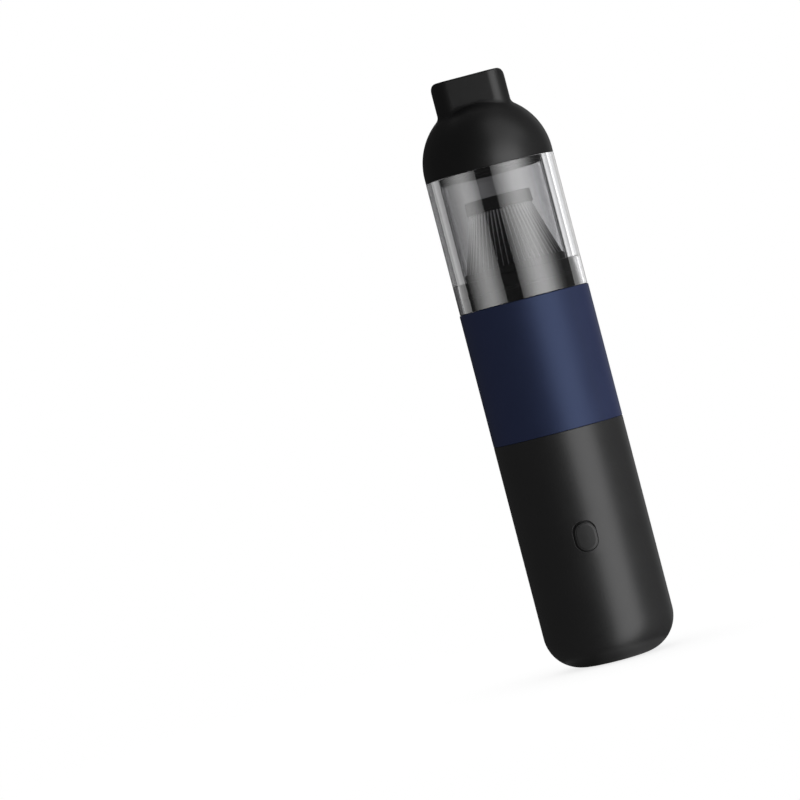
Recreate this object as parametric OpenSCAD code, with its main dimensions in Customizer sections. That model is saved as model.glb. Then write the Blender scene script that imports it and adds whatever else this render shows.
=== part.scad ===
// Cordless handheld vacuum cleaner for cars. The bottle-shaped body stands on its base with the
// suction mouth on top. Units are millimetres, +Z is up, the origin is the centre of the flat base
// and the power button faces -Y.

/* [Handle and sleeve] */
// Outside diameter of the handle and the sleeve
body_d = 66; // [64:0.5:70]
// Height of the handle, from the base to the seam under the sleeve
handle_h = 116.8; // [112:0.2:126]
// Height of the sleeve
sleeve_h = 67.6; // [66.6:0.2:76]
// Wall of the handle
handle_wall = 2.2; // [1.8:0.1:2.6]
// Wall of the sleeve
sleeve_wall = 2.2; // [1.8:0.1:2.6]
// Rounding between the base and the side
base_round = 18.5; // [14:0.5:19]
// Thickness of the floor of the handle
base_floor = 2.6; // [2:0.1:4]
// Bevel of the edges that meet at the seam
seam_bevel = 0.25; // [0.1:0.05:0.5]

/* [Air outlet and charging inlet] */
// Number of outlet slots at the back
vent_count = 9; // [5:2:11]
// Angle between two outlet slots, in degrees
vent_pitch = 10; // [9:0.5:12]
// Width of an outlet slot
vent_w = 2.2; // [1.6:0.1:3]
// Height of an outlet slot
vent_h = 14; // [8:0.5:16]
// Height of the middle of the outlet slots
vent_z = 93; // [90:0.5:95]
// Height of the middle of the charging inlet
inlet_z = 30; // [28:0.5:36]

/* [Dust cup] */
// Height of the clear cup between its two seams
cup_h = 67.4; // [64:0.2:80]
// How far the cup and the dome stand in from the side of the body
cup_step = 0.35; // [0.1:0.05:0.8]
// Wall of the clear cup
cup_wall = 6.75; // [6:0.25:7]
// Wall of the clear cup where it plugs over the collar
cup_lip = 2.2; // [1.8:0.1:2.6]
// Bevel of the cup's edges
cup_bevel = 0.3; // [0.1:0.05:0.6]

/* [Collar] */
// Height of the collar inside the cup
collar_h = 14.1; // [13:0.1:16]
// How much the radius of the collar shrinks towards its top
collar_draft = 0.8; // [0.4:0.1:1]
// Height of the filter seat above the cup's lower seam
seat_rise = 6.4; // [5.6:0.1:7]
// Thickness of the ledge that the filter sits on
ledge_t = 3; // [2.6:0.1:3.5]
// Width of the ledge round the intake opening
seat_w = 6.1; // [5.6:0.1:7.1]
// Section diameter of the collar's seal
collar_seal_d = 1.4; // [1:0.1:1.6]
// Height of the collar's skirt inside the sleeve
skirt_h = 12; // [10:0.5:14]

/* [Dome and nozzle] */
// Height of the straight skirt under the half ball
dome_skirt = 2.7; // [2.5:0.1:5]
// Wall of the dome
dome_wall = 2.5; // [2:0.1:3]
// Height of the ring's spigot inside the cup
spigot_h = 3; // [2.6:0.1:5]
// Wall of the ring's spigot
spigot_wall = 2; // [1.8:0.1:2.5]
// Thickness of the ring's flange
ring_t = 2.5; // [2:0.1:3]
// Section diameter of the dome's seal
dome_seal_d = 1.2; // [1:0.1:1.3]
// Height of the mouth above the cup's upper seam
mouth_rise = 46.8; // [44:0.2:60]
// Width of the nozzle
nozzle_w = 37.3; // [35:0.1:38]
// Depth of the nozzle from front to back
nozzle_depth = 27; // [25:0.5:28]
// Corner radius of the nozzle seen from the top
nozzle_corner = 8.5; // [6:0.5:10]
// Rounding of the mouth's rim at the left and the right
nozzle_edge = 2.6; // [1:0.1:4]
// Rounding of the mouth's rim at the front and the back
nozzle_rim = 1; // [0.5:0.1:1.6]
// Wall of the nozzle
nozzle_wall = 2.2; // [1.8:0.1:2.6]

/* [Dust flap] */
// Height of the flap's seat above the cup's upper seam
flap_rise = 21; // [20:0.2:22]
// Thickness of the flap
flap_t = 1.6; // [1.2:0.1:2]
// How far the flap reaches over the rim of its seat
flap_cover = 0.9; // [0.5:0.1:1.2]
// Diameter of the flap's hinge pin
flap_pin_d = 1.8; // [1.5:0.1:2]
// Diameter of the flap's hinge barrel
flap_barrel_d = 4; // [3.6:0.1:4.4]
// Length of the flap's hinge barrel
flap_barrel_l = 24.4; // [18:0.2:26]
// Width of each hinge ear
flap_ear_w = 3.2; // [2.4:0.2:4]

/* [Filter] */
// Height of the filter from the top of its base to the top of its cap
filter_h = 34.7; // [30:0.1:36]
// Height of the filter's base above its gasket
filter_base_h = 10.3; // [8:0.1:11]
// Thickness of the filter's gasket
gasket_t = 1.6; // [1:0.1:2]
// How far the lower edge of the cap stands in from the side of the filter's base
filter_cap_inset = 8.4; // [7.4:0.1:8.9]
// Height of the filter's cap
filter_cap_h = 6.7; // [5:0.1:8]
// How much the radius of the cap shrinks towards its top
filter_cap_draft = 0.4; // [0:0.1:0.8]
// How far the foot of the pleats stands in from the side of the filter's base
pleat_inset = 0.9; // [0.6:0.1:2.4]
// Gap between the top of the pleats and the rim of the cap
pleat_cap_gap = 0.8; // [0.5:0.1:2.3]
// Number of pleats
pleat_count = 60; // [40:1:72]
// Depth of a pleat at the base
pleat_depth = 3; // [2:0.1:3.4]
// Thickness of the filter paper
paper_t = 0.4; // [0.3:0.05:0.6]
// Wall of the filter's inner cage
cage_wall = 1.4; // [1:0.1:2]

/* [Power button] */
// Height of the middle of the button
button_z = 64.5; // [62:0.5:70]
// Width of the button's well
button_w = 12.6; // [11:0.1:14]
// Height of the button's well
button_h = 15.8; // [14:0.1:18]
// Corner radius of the button's well
button_corner = 5.6; // [3:0.1:5.6]
// Gap between the button and its well
button_gap = 0.4; // [0.3:0.05:0.6]
// Width of the raised pad on the button
pad_w = 9; // [7:0.1:9.5]
// Height of the raised pad on the button
pad_h = 9.6; // [8:0.1:11]
// Rise of the pad over the face of the button
pad_rise = 0.35; // [0.2:0.05:0.6]
// Travel of the button
button_travel = 0.8; // [0.4:0.1:1]

/* [Fan and motor] */
// Gap between the tips of the impeller and the shroud
fan_tip_gap = 1.9; // [1.4:0.1:3.4]
// Height of the impeller
impeller_h = 11.7; // [10:0.1:12.4]
// Number of fan blades
blade_count = 9; // [6:1:12]
// Thickness of a fan blade
blade_t = 1.2; // [0.8:0.1:1.6]
// Diameter of the fan's eye
eye_d = 24; // [22:0.5:26]
// Diameter of the motor
motor_d = 32; // [30:0.5:34]
// Length of the motor's can
motor_l = 44; // [41:0.5:45]
// Wall of the motor's can
can_wall = 1.6; // [1.2:0.1:2]
// Diameter of the motor's shaft
shaft_d = 3.2; // [2.8:0.1:4]
// Outer diameter of the bearings
bearing_d = 11; // [10:0.5:12]
// Height of the bearings
bearing_h = 3.5; // [3:0.1:3.6]
// Wall of the motor housing
housing_wall = 2; // [1.6:0.1:2.2]
// Height of the housing's spigot inside the handle
housing_spigot_h = 12; // [10:0.5:13]

/* [Battery and boards] */
// Diameter of a battery cell
cell_d = 18.4; // [18:0.1:18.6]
// Length of a battery cell
cell_l = 65; // [60:0.5:66]
// Gap between the two battery cells
cell_gap = 0.8; // [0.6:0.1:1.4]
// How far the cells sit behind the middle of the handle
cell_back = 7; // [6.5:0.1:7.4]
// Height of the cradle's legs
cradle_leg_h = 15; // [13:0.5:16]
// Thickness of the cradle's walls
cradle_t = 2; // [1.6:0.1:2.4]
// Thickness of the battery's metal tabs
tab_t = 0.3; // [0.2:0.05:0.5]
// Width of the battery's metal tabs
tab_w = 9; // [6:0.5:11]
// Width of the control board
board_w = 34; // [31:0.5:36]
// Height of the control board
board_h = 52; // [50:0.5:54]
// Thickness of both boards
board_t = 1.6; // [1.2:0.1:2]
// Distance from the front of the body to the control board
board_depth = 13; // [12.5:0.1:14]
// Diameter of a lead
lead_d = 1.6; // [1.2:0.1:2]

/* [Fits] */
// Gap between pieces that slide into each other
slide_fit = 0.2; // [0.1:0.05:0.3]
// Gap under a piece that rests on its seat
seat_gap = 0.1; // [0.05:0.05:0.2]
// Radial gap of a shaft that runs in a bearing
run_fit = 0.05; // [0.03:0.01:0.08]
// Radial gap of a shaft that is pressed into its hub
press_gap = 0.02; // [0.01:0.01:0.04]

/* [Hidden] */
$fn = 96;
cut = 1;

body_r = body_d / 2;
handle_in_r = body_r - handle_wall;
sleeve_in_r = body_r - sleeve_wall;
z_seam = handle_h;
z_rim = handle_h + sleeve_h;
z_cup_top = z_rim + cup_h;
z_mouth = z_cup_top + mouth_rise;

// Dust cup, collar and dome
cup_r = body_r - cup_step;
cavity_r = cup_r - cup_wall;
socket_r = cup_r - cup_lip;
collar_r = socket_r - slide_fit;
collar_bore_r = cavity_r + slide_fit;
z_collar_top = z_rim + collar_h;
z_socket_top = z_collar_top + 2 * slide_fit;
z_seat = z_rim + seat_rise;
z_ledge = z_seat - ledge_t;
z_skirt = z_rim - skirt_h;
collar_flange_t = 1.4;
collar_flange_r = (body_r + sleeve_in_r) / 2;
intake_r = collar_bore_r - seat_w;
guard_r = intake_r - slide_fit;
guard_t = 2;
guard_lip = 1.2;
guard_rim_w = 2.2;
guard_bar_w = 1.4;
guard_shares = [0.66, 0.34];
z_collar_seal = z_rim + collar_h / 2;
collar_mid_r = collar_r - collar_draft / 2;
collar_seal_r = collar_mid_r + slide_fit / 2 - collar_seal_d / 2;
collar_groove_r = collar_seal_r - collar_seal_d / 2 - press_gap;
collar_groove_h = collar_seal_d + 2 * seat_gap;

dome_in_r = cup_r - dome_wall;
z_dome = z_cup_top + dome_skirt;
spigot_r = cavity_r - slide_fit;
ring_flange_r = dome_in_r - slide_fit;
dome_seal_r = spigot_r + slide_fit / 2 - dome_seal_d / 2;
z_dome_seal = z_cup_top - spigot_h / 2;
duct_w = nozzle_w - 2 * nozzle_wall;
duct_depth = nozzle_depth - 2 * nozzle_wall;
duct_corner = nozzle_corner - nozzle_wall;

// Dust flap
z_flap_seat = z_cup_top + flap_rise;
z_hinge = z_flap_seat - slide_fit - flap_barrel_d / 2;
hinge_out = 1.2;
hinge_y = nozzle_depth / 2 + hinge_out;
flap_depth = duct_depth + 2 * flap_cover;
flap_barrel_half = flap_barrel_l / 2;
ear_in = flap_barrel_half + slide_fit;
ear_reach = flap_barrel_d / 2 + slide_fit;
ear_rise = 3;

// Filter
filter_play = 0.5;
filter_r = cavity_r - filter_play;
cap_rim_h = 1.8;
cap_rim_wall = 0.7;
cap_edge = 0.5;
cap_r = filter_r - filter_cap_inset;
pleat_foot_r = filter_r - pleat_inset;
pleat_top_r = cap_r - cap_rim_wall - pleat_cap_gap;
pleat_in_r = pleat_foot_r - pleat_depth - paper_t;
cage_play = 0.3;
cage_foot_r = pleat_in_r - cage_play;
cage_top_r = pleat_in_r * pleat_top_r / pleat_foot_r - cage_play;
base_lip = 0.4;
filter_bore_r = cage_foot_r - cage_wall - base_lip;
gasket_inset = 0.4;
gasket_lip = 0.5;
z_gasket = z_seat + seat_gap;
z_filter_base = z_gasket + gasket_t;
z_pleats = z_filter_base + filter_base_h;
z_filter_top = z_pleats + filter_h;
z_filter_cap = z_filter_top - filter_cap_h;
z_pleat_top = z_filter_cap + cap_rim_h;
pleat_h = z_pleat_top - z_pleats;
cage_ring_h = 2.2;
cage_rib_w = 1.8;
cage_ribs = 8;

// Fan and motor, stacked down from the collar
shroud_t = 2;
shroud_drop = 5.6;
shroud_boss_r = 2.9;
shroud_lip_h = 2.2;
z_shroud_top = z_rim - shroud_drop;
fan_gap = 0.8;
back_gap = 1.5;
bulkhead_t = 2.5;
z_impeller_top = z_shroud_top - shroud_t - fan_gap;
z_impeller = z_impeller_top - impeller_h;
z_bulkhead_top = z_impeller - back_gap;
z_bulkhead = z_bulkhead_top - bulkhead_t;
z_motor = z_bulkhead - motor_l;
motor_r = motor_d / 2;
can_in_r = motor_r - can_wall;
can_front_t = 2;
end_cap_t = 4;
end_cap_plug = 1.5;
z_end_cap = z_motor - end_cap_t;
shaft_r = shaft_d / 2;
bearing_r = bearing_d / 2;
boss_wall = 1.2;
boss_lip = 0.8;
bearing_seat_w = 1.5;
end_cap_lip = 1;
z_front_bearing = z_bulkhead_top - boss_lip - bearing_h;
z_rear_bearing = z_end_cap + end_cap_lip;
shaft_tail = 0.4;
shaft_nose = 0.6;
housing_r = sleeve_in_r - slide_fit;
housing_spigot_r = handle_in_r - slide_fit;
housing_in_r = min(housing_r, housing_spigot_r) - housing_wall;
z_housing = z_seam - housing_spigot_h;
shroud_r = housing_in_r - slide_fit;
shroud_overlap = 5;
impeller_r = shroud_r - shroud_t - fan_tip_gap;
damper_t = 3;
damper_h = 8;
damper_rise = 1.5;
z_damper = z_motor + damper_rise;
damper_r = motor_r + press_gap + damper_t;
air_slot_foot = 2.5;
air_slot_rim = 1.5;
web_w = 4;
rib_w = 2.4;
rib_extra = 1;
magnet_t = 3;
magnet_gap_w = 9;
magnet_extra = 1;
air_gap = 0.9;
core_r = can_in_r - magnet_t - air_gap;
core_h = 22;
core_rise = 13;
z_core = z_motor + core_rise;
core_rim = 1.6;
core_foot_r = 5;
core_slot_w = 2;
winding_h = 3;
winding_inset = 2;
commutator_r = 4;
commutator_rise = 1;
bar_gap_w = 0.5;
bar_gap_depth = 0.8;
z_commutator = z_motor + end_cap_plug + commutator_rise;
commutator_h = z_core - winding_h - z_commutator;
brush_w = 3;
brush_h = 4.5;
brush_inset = 4.5;
brush_gap = 0.1;
terminal_h = 6;
terminal_w = 4.8;
terminal_t = 0.8;
terminal_x = 9;
z_terminal = z_end_cap - terminal_h;
hub_r = 5;
hub_drop = 2;
z_hub_top = z_impeller_top - hub_drop;
nut_h = 2.5;
nut_r = 3.4;
blade_foot_gap = 3;
blade_foot_r = hub_r + blade_foot_gap;
blade_rim_gap = 0.3;
blade_bend = 0.72;
back_plate_t = 2;
motor_screw_x = 11;
collar_screw_r = (intake_r + collar_bore_r) / 2;

// Screws of the collar, the motor and the control board
collar_head_r = 2.4;
collar_head_h = 1.6;
collar_shank_r = 1.25;
collar_shank_l = 8;
motor_head_r = 2.5;
motor_head_h = 1.4;
motor_shank_r = 1.3;
motor_screw_bite = 1;
board_head_r = 2.2;
board_head_h = 1.5;
board_screw_r = 1;
pilot_l = 8;

// Snap beads that hold the inner tube in the handle and the shroud in the tube
bead_r = 0.65;
bead_sink = 0.2;
bead_room = 0.15;

// Battery, cradle and boards
cell_r = cell_d / 2;
cell_x = cell_r + cell_gap / 2;
z_shelf = base_floor + seat_gap + cradle_leg_h;
z_tab_low = z_shelf + cradle_t;
z_cells = z_tab_low + tab_t;
z_tab_high = z_cells + cell_l;
z_top_shelf = z_tab_high + tab_t;
cell_play = 0.3;
cell_rim_t = 1.4;
cell_rim_h = 4;
cell_rim_sink = 0.5;
groove_rise = 3;
groove_w = 1;
groove_depth = 0.5;
wall_gap = 0.4;
wall_play = 0.35;
shelf_margin = 0.8;
shelf_tail = 1;
arm_gap = 1.5;
wall_back_y = cell_back - cell_r - wall_gap;
wall_front_y = wall_back_y - cradle_t;
wall_half = sqrt(pow(handle_in_r, 2) - pow(wall_front_y, 2)) - wall_play;
shelf_half = cell_x + cell_r + shelf_margin;
shelf_back_y = cell_back + cell_r + shelf_tail;
arm_in = shelf_half + arm_gap;
leg_r = 2.4;
leg_x = 8;
leg_inset = 1;
board_front_y = board_depth - body_r;
board_back_y = board_front_y + board_t;
switch_rise = 25;
board_corner = 2;
z_board = button_z - switch_rise;
post_inset = [4, 5];
post_x = board_w / 2 - post_inset[0];
post_zs = [z_board + post_inset[1], z_board + board_h - post_inset[1]];
post_r = 2.6;
pilot_room = 1;
z_wall_top = max(z_top_shelf + cradle_t, post_zs[1] + post_r);
inlet_w = 8.94;
inlet_h = 3.26;
inlet_l = 7.3;
inlet_play = 0.33;
inlet_shell_t = 0.3;
inlet_back_t = 1;
inlet_tongue = [6.7, 0.7, 4.8];
inlet_inset = 0.3;
round_end = 0.01;
z_charge_board = inlet_z - inlet_h / 2 - board_t;
charge_board_half = 9;
charge_board_play = 0.8;
charge_board_y = shelf_back_y + wall_gap;
charge_board_back = sqrt(pow(handle_in_r, 2) - pow(charge_board_half, 2)) - charge_board_play;
charge_post_r = 2;
charge_post_x = 6.5;
charge_post_in = 4;
charge_post_y = charge_board_y + charge_post_in;
charge_lead_x = 2.6;
charge_lead_in = 2.6;
charge_lead_y = charge_board_y + charge_lead_in;
tongue_margin = 0.4;
tongue_back_y = charge_post_y + charge_post_r + tongue_margin;

// Parts on the control board, with their places measured from its lower edge
coil_r = 5;
coil_h = 6;
coil_z = 17;
capacitor_r = 3.2;
capacitor_h = 9;
capacitor_at = [9, 30];
driver = [10, 6.5, 2.4];
driver_at = [-9, 31];
controller = [5, 5, 1.6];
controller_z = 33;
header = [9, 4, 1.2];
header_z = 40;
chip_corner = 0.5;

// Button and switch
pad_sink = 0.05;
pad_corner = 3.4;
pad_r = body_r - pad_sink;
button_face_r = pad_r - pad_rise;
button_cap = [button_w - 2 * button_gap, button_h - 2 * button_gap, button_corner - button_gap];
button_flange = 1.3;
flange_play = 0.3;
flange_depth = 2.8;
flange_face_r = handle_in_r - flange_play;
flange_back_y = flange_depth - handle_in_r;
switch_t = 3.5;
switch_w = 6;
plunger_r = 1.75;
plunger_out = 1.1;
plunger_in = 0.6;
plunger_room = 0.4;
stem_r = 2.2;
stem_sink = 0.5;
stem_end_y = board_front_y - switch_t - plunger_out;

// Routes of the leads for the right side, mirrored to the left
lead_stub = 4;
lead_room = 0.6;
lead_hole_r = lead_d / 2 + lead_room;
motor_lead_x = 4;
z_motor_lead = z_board + board_h - lead_stub;
battery_lead_x = post_x - post_r - lead_d;
z_battery_lead = z_board + board_h - 3 * lead_stub;
z_charge_lead = post_zs[0];
motor_lead_route = [
  [terminal_x, 0, z_terminal],
  [terminal_x, 0, z_terminal - lead_stub],
  [(terminal_x + motor_lead_x) / 2, board_back_y / 2, z_motor_lead + 3 * lead_stub],
  [motor_lead_x, board_back_y + lead_stub, z_motor_lead],
  [motor_lead_x, board_back_y, z_motor_lead]
];
battery_lead_route = [
  [cell_x, cell_back, z_top_shelf],
  [cell_x, cell_back, z_top_shelf + lead_stub],
  [battery_lead_x, wall_back_y + lead_stub / 2, z_wall_top + lead_stub],
  [battery_lead_x, wall_front_y - lead_stub, z_wall_top + lead_stub / 2],
  [battery_lead_x, board_back_y + lead_stub, z_battery_lead],
  [battery_lead_x, board_back_y, z_battery_lead]
];
charge_lead_route = [
  [charge_lead_x, charge_lead_y, z_charge_board],
  [charge_lead_x, charge_lead_y, z_shelf - lead_stub / 2],
  [charge_lead_x, (charge_lead_y + cell_back) / 2, base_floor + 2 * lead_stub],
  [charge_lead_x, 0, base_floor + 2 * lead_stub],
  [charge_lead_x, wall_front_y - lead_stub, z_shelf - lead_stub / 2],
  [charge_lead_x, wall_front_y - 2 * lead_stub, z_shelf + 3 * lead_stub],
  [charge_lead_x, board_back_y + lead_stub, z_charge_lead],
  [charge_lead_x, board_back_y, z_charge_lead]
];
lead_sides = 8;
lead_steps = 3;

black = [0.09, 0.09, 0.1];
dark = [0.16, 0.16, 0.18];
navy = [0.17, 0.2, 0.32];
smoke = [0.45, 0.45, 0.48, 0.4];
rubber = [0.05, 0.05, 0.05];
steel = [0.7, 0.71, 0.73];
copper = [0.72, 0.42, 0.22];
brass = [0.8, 0.66, 0.3];
board_green = [0.1, 0.34, 0.2];

// Shared shapes

module ring(r_out, r_in, h) {
  difference() {
    cylinder(r = r_out, h = h);
    translate([0, 0, -cut]) cylinder(r = r_in, h = h + 2 * cut);
  }
}

module rounded_rect(w, h, r) {
  difference() {
    square([w, h], center = true);
    for (sx = [-1, 1], sy = [-1, 1])
      translate([sx * w / 2, sy * h / 2])
        difference() {
          square(2 * r, center = true);
          translate([-sx * r, -sy * r]) circle(r);
        }
  }
}

// Half profile of a round body whose lower edge is rounded
module footed_profile(r, h, round_r) {
  difference() {
    square([r, h]);
    difference() {
      translate([r - round_r, -cut]) square([round_r + cut, round_r + cut]);
      translate([r - round_r, round_r]) circle(round_r);
    }
  }
}

// Extrudes a flat outline towards the front, from the plane at y
module to_front(y, z, depth) {
  translate([0, y, z]) rotate([90, 0, 0]) linear_extrude(depth) children();
}

// Extrudes a flat outline towards the back, from the plane at y
module to_back(y, z, depth) {
  translate([0, y, z]) rotate([-90, 0, 0]) linear_extrude(depth) children();
}

// Copies a shape evenly round the axis
module around(count) {
  for (i = [0 : count - 1]) rotate([0, 0, i * 360 / count]) children();
}

// Copies a shape to the left and the right
module both_sides() {
  for (s = [0, 1]) mirror([s, 0, 0]) children();
}

module snap_ring(wall_r, z, extra) {
  rotate_extrude() translate([wall_r - bead_sink, z]) circle(bead_r + extra);
}

// A screw along +Z, with the underside of its head at the origin
module screw(shank_r, shank_l, head_r, head_h) {
  cylinder(r = head_r, h = head_h);
  translate([0, 0, -shank_l]) cylinder(r = shank_r, h = shank_l + head_h / 2);
}

function unit(v) = v / norm(v);

// Point of the smooth curve from b to c, which also leans on its neighbours a and d
function between(a, b, c, d, t) =
  b + (c - a) * t / 2
  + (2 * a - 5 * b + 4 * c - d) * t * t / 2
  + (3 * b - a - 3 * c + d) * t * t * t / 2;

// Points of a smooth curve through the points of a route
function smooth(p) = [
  for (i = [0 : len(p) - 2], k = [0 : lead_steps - 1])
    between(p[max(i - 1, 0)], p[i], p[i + 1], p[min(i + 2, len(p) - 1)], k / lead_steps),
  p[len(p) - 1]
];

// Direction of a curve at one of its points, square to the faces that its ends meet
function heading(p, i, route) =
  i == 0 ? unit(route[1] - route[0])
  : i == len(p) - 1 ? unit(route[len(route) - 1] - route[len(route) - 2])
  : unit(p[i + 1] - p[i - 1]);

function ring_points(centre, along, r) =
  let (side = unit([1, 0, 0] - along * along[0]), up = cross(along, side))
  [for (k = [0 : lead_sides - 1])
    centre + r * (cos(k * 360 / lead_sides) * side + sin(k * 360 / lead_sides) * up)];

// A round lead along a route
module lead(route) {
  p = smooth(route);
  n = len(p);
  s = lead_sides;
  points = [for (i = [0 : n - 1]) each ring_points(p[i], heading(p, i, route), lead_d / 2)];
  sides = [
    for (i = [0 : n - 2], k = [0 : s - 1])
      let (a = i * s + k, b = i * s + (k + 1) % s)
      each [[a, a + s, b], [b, a + s, b + s]]
  ];
  first_cap = [for (k = [1 : s - 2]) [0, k, k + 1]];
  last_cap = [for (k = [1 : s - 2]) [(n - 1) * s, (n - 1) * s + k + 1, (n - 1) * s + k]];
  polyhedron(points = points, faces = concat(sides, first_cap, last_cap));
}

// Handle, sleeve and collar

module button_outline(grow) {
  rounded_rect(button_cap[0] + 2 * grow, button_cap[1] + 2 * grow, button_cap[2] + grow);
}

module inlet_outline(grow) {
  rounded_rect(inlet_w + 2 * grow, inlet_h + 2 * grow, inlet_h / 2 + grow - round_end);
}

module vent_slots() {
  for (i = [0 : vent_count - 1])
    rotate([0, 0, (i - (vent_count - 1) / 2) * vent_pitch])
      to_back(handle_in_r - 2 * cut, vent_z, handle_wall + 4 * cut) {
        square([vent_w, vent_h - vent_w], center = true);
        for (s = [-1, 1]) translate([0, s * (vent_h - vent_w) / 2]) circle(vent_w / 2);
      }
}

module handle_shell() {
  color(black)
    difference() {
      rotate_extrude()
        difference() {
          footed_profile(body_r, handle_h, base_round);
          polygon([
            [body_r - 2 * seam_bevel, handle_h + seam_bevel],
            [body_r + seam_bevel, handle_h + seam_bevel],
            [body_r + seam_bevel, handle_h - 2 * seam_bevel]
          ]);
        }
      translate([0, 0, base_floor])
        rotate_extrude()
          footed_profile(handle_in_r, handle_h, base_round - handle_wall);
      to_front(3 * cut - handle_in_r, button_z, handle_wall + 4 * cut) button_outline(button_gap);
      vent_slots();
      to_back(handle_in_r - 2 * cut, inlet_z, handle_wall + 4 * cut) inlet_outline(inlet_play);
      snap_ring(housing_spigot_r, z_seam - housing_spigot_h / 2, bead_room);
    }
}

module blue_sleeve() {
  rebate_r = collar_flange_r + slide_fit;
  color(navy)
    rotate_extrude()
      polygon([
        [sleeve_in_r, z_seam],
        [body_r - seam_bevel, z_seam],
        [body_r, z_seam + seam_bevel],
        [body_r, z_rim - seam_bevel],
        [body_r - seam_bevel, z_rim],
        [rebate_r, z_rim],
        [rebate_r, z_rim - collar_flange_t],
        [sleeve_in_r, z_rim - collar_flange_t]
      ]);
}

module cup_collar() {
  color(black)
    difference() {
      rotate_extrude()
        polygon([
          [collar_bore_r, z_collar_top],
          [collar_r - collar_draft, z_collar_top],
          [collar_r, z_rim],
          [collar_flange_r, z_rim],
          [collar_flange_r, z_rim - collar_flange_t],
          [housing_r, z_rim - collar_flange_t],
          [housing_r, z_skirt],
          [housing_in_r, z_skirt],
          [housing_in_r, z_shroud_top],
          [collar_bore_r, z_shroud_top],
          [collar_bore_r, z_ledge],
          [intake_r - guard_lip, z_ledge],
          [intake_r - guard_lip, z_seat - guard_t],
          [intake_r, z_seat - guard_t],
          [intake_r, z_seat],
          [collar_bore_r, z_seat]
        ]);
      rotate_extrude()
        translate([collar_groove_r, z_collar_seal - collar_groove_h / 2])
          square([2 * collar_seal_d, collar_groove_h]);
      around(3)
        translate([collar_screw_r, 0, z_seat - collar_head_h])
          screw(collar_shank_r + slide_fit, ledge_t + cut, collar_head_r + slide_fit, collar_head_h + cut);
    }
}

module collar_seal() {
  color(rubber)
    rotate_extrude() translate([collar_seal_r, z_collar_seal]) circle(collar_seal_d / 2);
}

module intake_guard() {
  spokes = 6;
  bar_rs = guard_r * guard_shares;
  color(dark)
    translate([0, 0, z_seat - guard_t])
      linear_extrude(guard_t) {
        difference() {
          circle(guard_r);
          circle(guard_r - guard_rim_w);
        }
        for (r = bar_rs)
          difference() {
            circle(r);
            circle(r - guard_bar_w);
          }
        difference() {
          around(spokes)
            translate([0, -guard_bar_w / 2]) square([guard_r - guard_rim_w / 2, guard_bar_w]);
          circle(bar_rs[1] - guard_bar_w / 2);
        }
      }
}

// Fan and motor

module motor_housing() {
  slot_in_r = damper_r + air_slot_foot;
  slot_out_r = housing_in_r - air_slot_rim;
  slot_count = 8;
  color(dark)
    difference() {
      union() {
        translate([0, 0, z_housing]) ring(housing_spigot_r, housing_in_r, housing_spigot_h);
        translate([0, 0, z_seam]) ring(housing_r, housing_in_r, z_skirt - z_seam);
        translate([0, 0, z_bulkhead]) cylinder(r = housing_in_r + housing_wall / 2, h = bulkhead_t);
        around(4)
          translate([damper_r + press_gap, -rib_w / 2, z_damper - rib_extra])
            cube([housing_in_r + housing_wall / 2 - damper_r, rib_w, damper_h + 2 * rib_extra]);
        snap_ring(housing_spigot_r, z_seam - housing_spigot_h / 2, 0);
      }
      difference() {
        translate([0, 0, z_bulkhead - cut]) ring(slot_out_r, slot_in_r, bulkhead_t + 2 * cut);
        around(slot_count)
          translate([0, -web_w / 2, z_bulkhead - 2 * cut])
            cube([body_r, web_w, bulkhead_t + 4 * cut]);
      }
      translate([0, 0, z_bulkhead - cut])
        cylinder(r = bearing_r + boss_wall + slide_fit, h = bulkhead_t + 2 * cut);
      both_sides()
        translate([motor_screw_x, 0, z_bulkhead_top - motor_head_h])
          screw(motor_shank_r + slide_fit, bulkhead_t, motor_head_r + slide_fit, motor_head_h + cut);
      snap_ring(shroud_r, z_skirt - shroud_overlap / 2, bead_room);
    }
}

module fan_shroud() {
  eye_r = eye_d / 2;
  color(dark)
    difference() {
      union() {
        rotate_extrude()
          polygon([
            [shroud_r - shroud_t, z_skirt - shroud_overlap],
            [shroud_r, z_skirt - shroud_overlap],
            [shroud_r, z_shroud_top],
            [eye_r + shroud_t + shroud_lip_h, z_shroud_top],
            [eye_r + shroud_t, z_shroud_top + shroud_lip_h],
            [eye_r + shroud_t / 2, z_shroud_top + shroud_lip_h],
            [eye_r, z_shroud_top],
            [eye_r, z_shroud_top - shroud_t],
            [shroud_r - shroud_t, z_shroud_top - shroud_t]
          ]);
        around(3)
          translate([collar_screw_r, 0, z_shroud_top - shroud_t / 2])
            cylinder(r = shroud_boss_r, h = z_ledge - z_shroud_top + shroud_t / 2);
        snap_ring(shroud_r, z_skirt - shroud_overlap / 2, 0);
      }
      around(3)
        translate([collar_screw_r, 0, z_shroud_top])
          cylinder(r = collar_shank_r + press_gap, h = z_ledge - z_shroud_top + cut);
    }
}

module motor_can() {
  boss_r = bearing_r + boss_wall;
  boss_h = bulkhead_t;
  color(steel)
    difference() {
      union() {
        translate([0, 0, z_motor]) cylinder(r = motor_r, h = motor_l);
        translate([0, 0, z_bulkhead - can_front_t]) cylinder(r = boss_r, h = boss_h + can_front_t);
      }
      translate([0, 0, z_motor - cut]) cylinder(r = can_in_r, h = motor_l - can_front_t + cut);
      translate([0, 0, z_front_bearing - 3 * cut])
        cylinder(r = bearing_r + press_gap, h = bearing_h + 3 * cut);
      cylinder(r = bearing_r - bearing_seat_w, h = z_rim);
      both_sides() translate([motor_screw_x, 0, z_motor + motor_l / 2])
        cylinder(r = motor_shank_r + press_gap, h = motor_l);
    }
}

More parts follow.
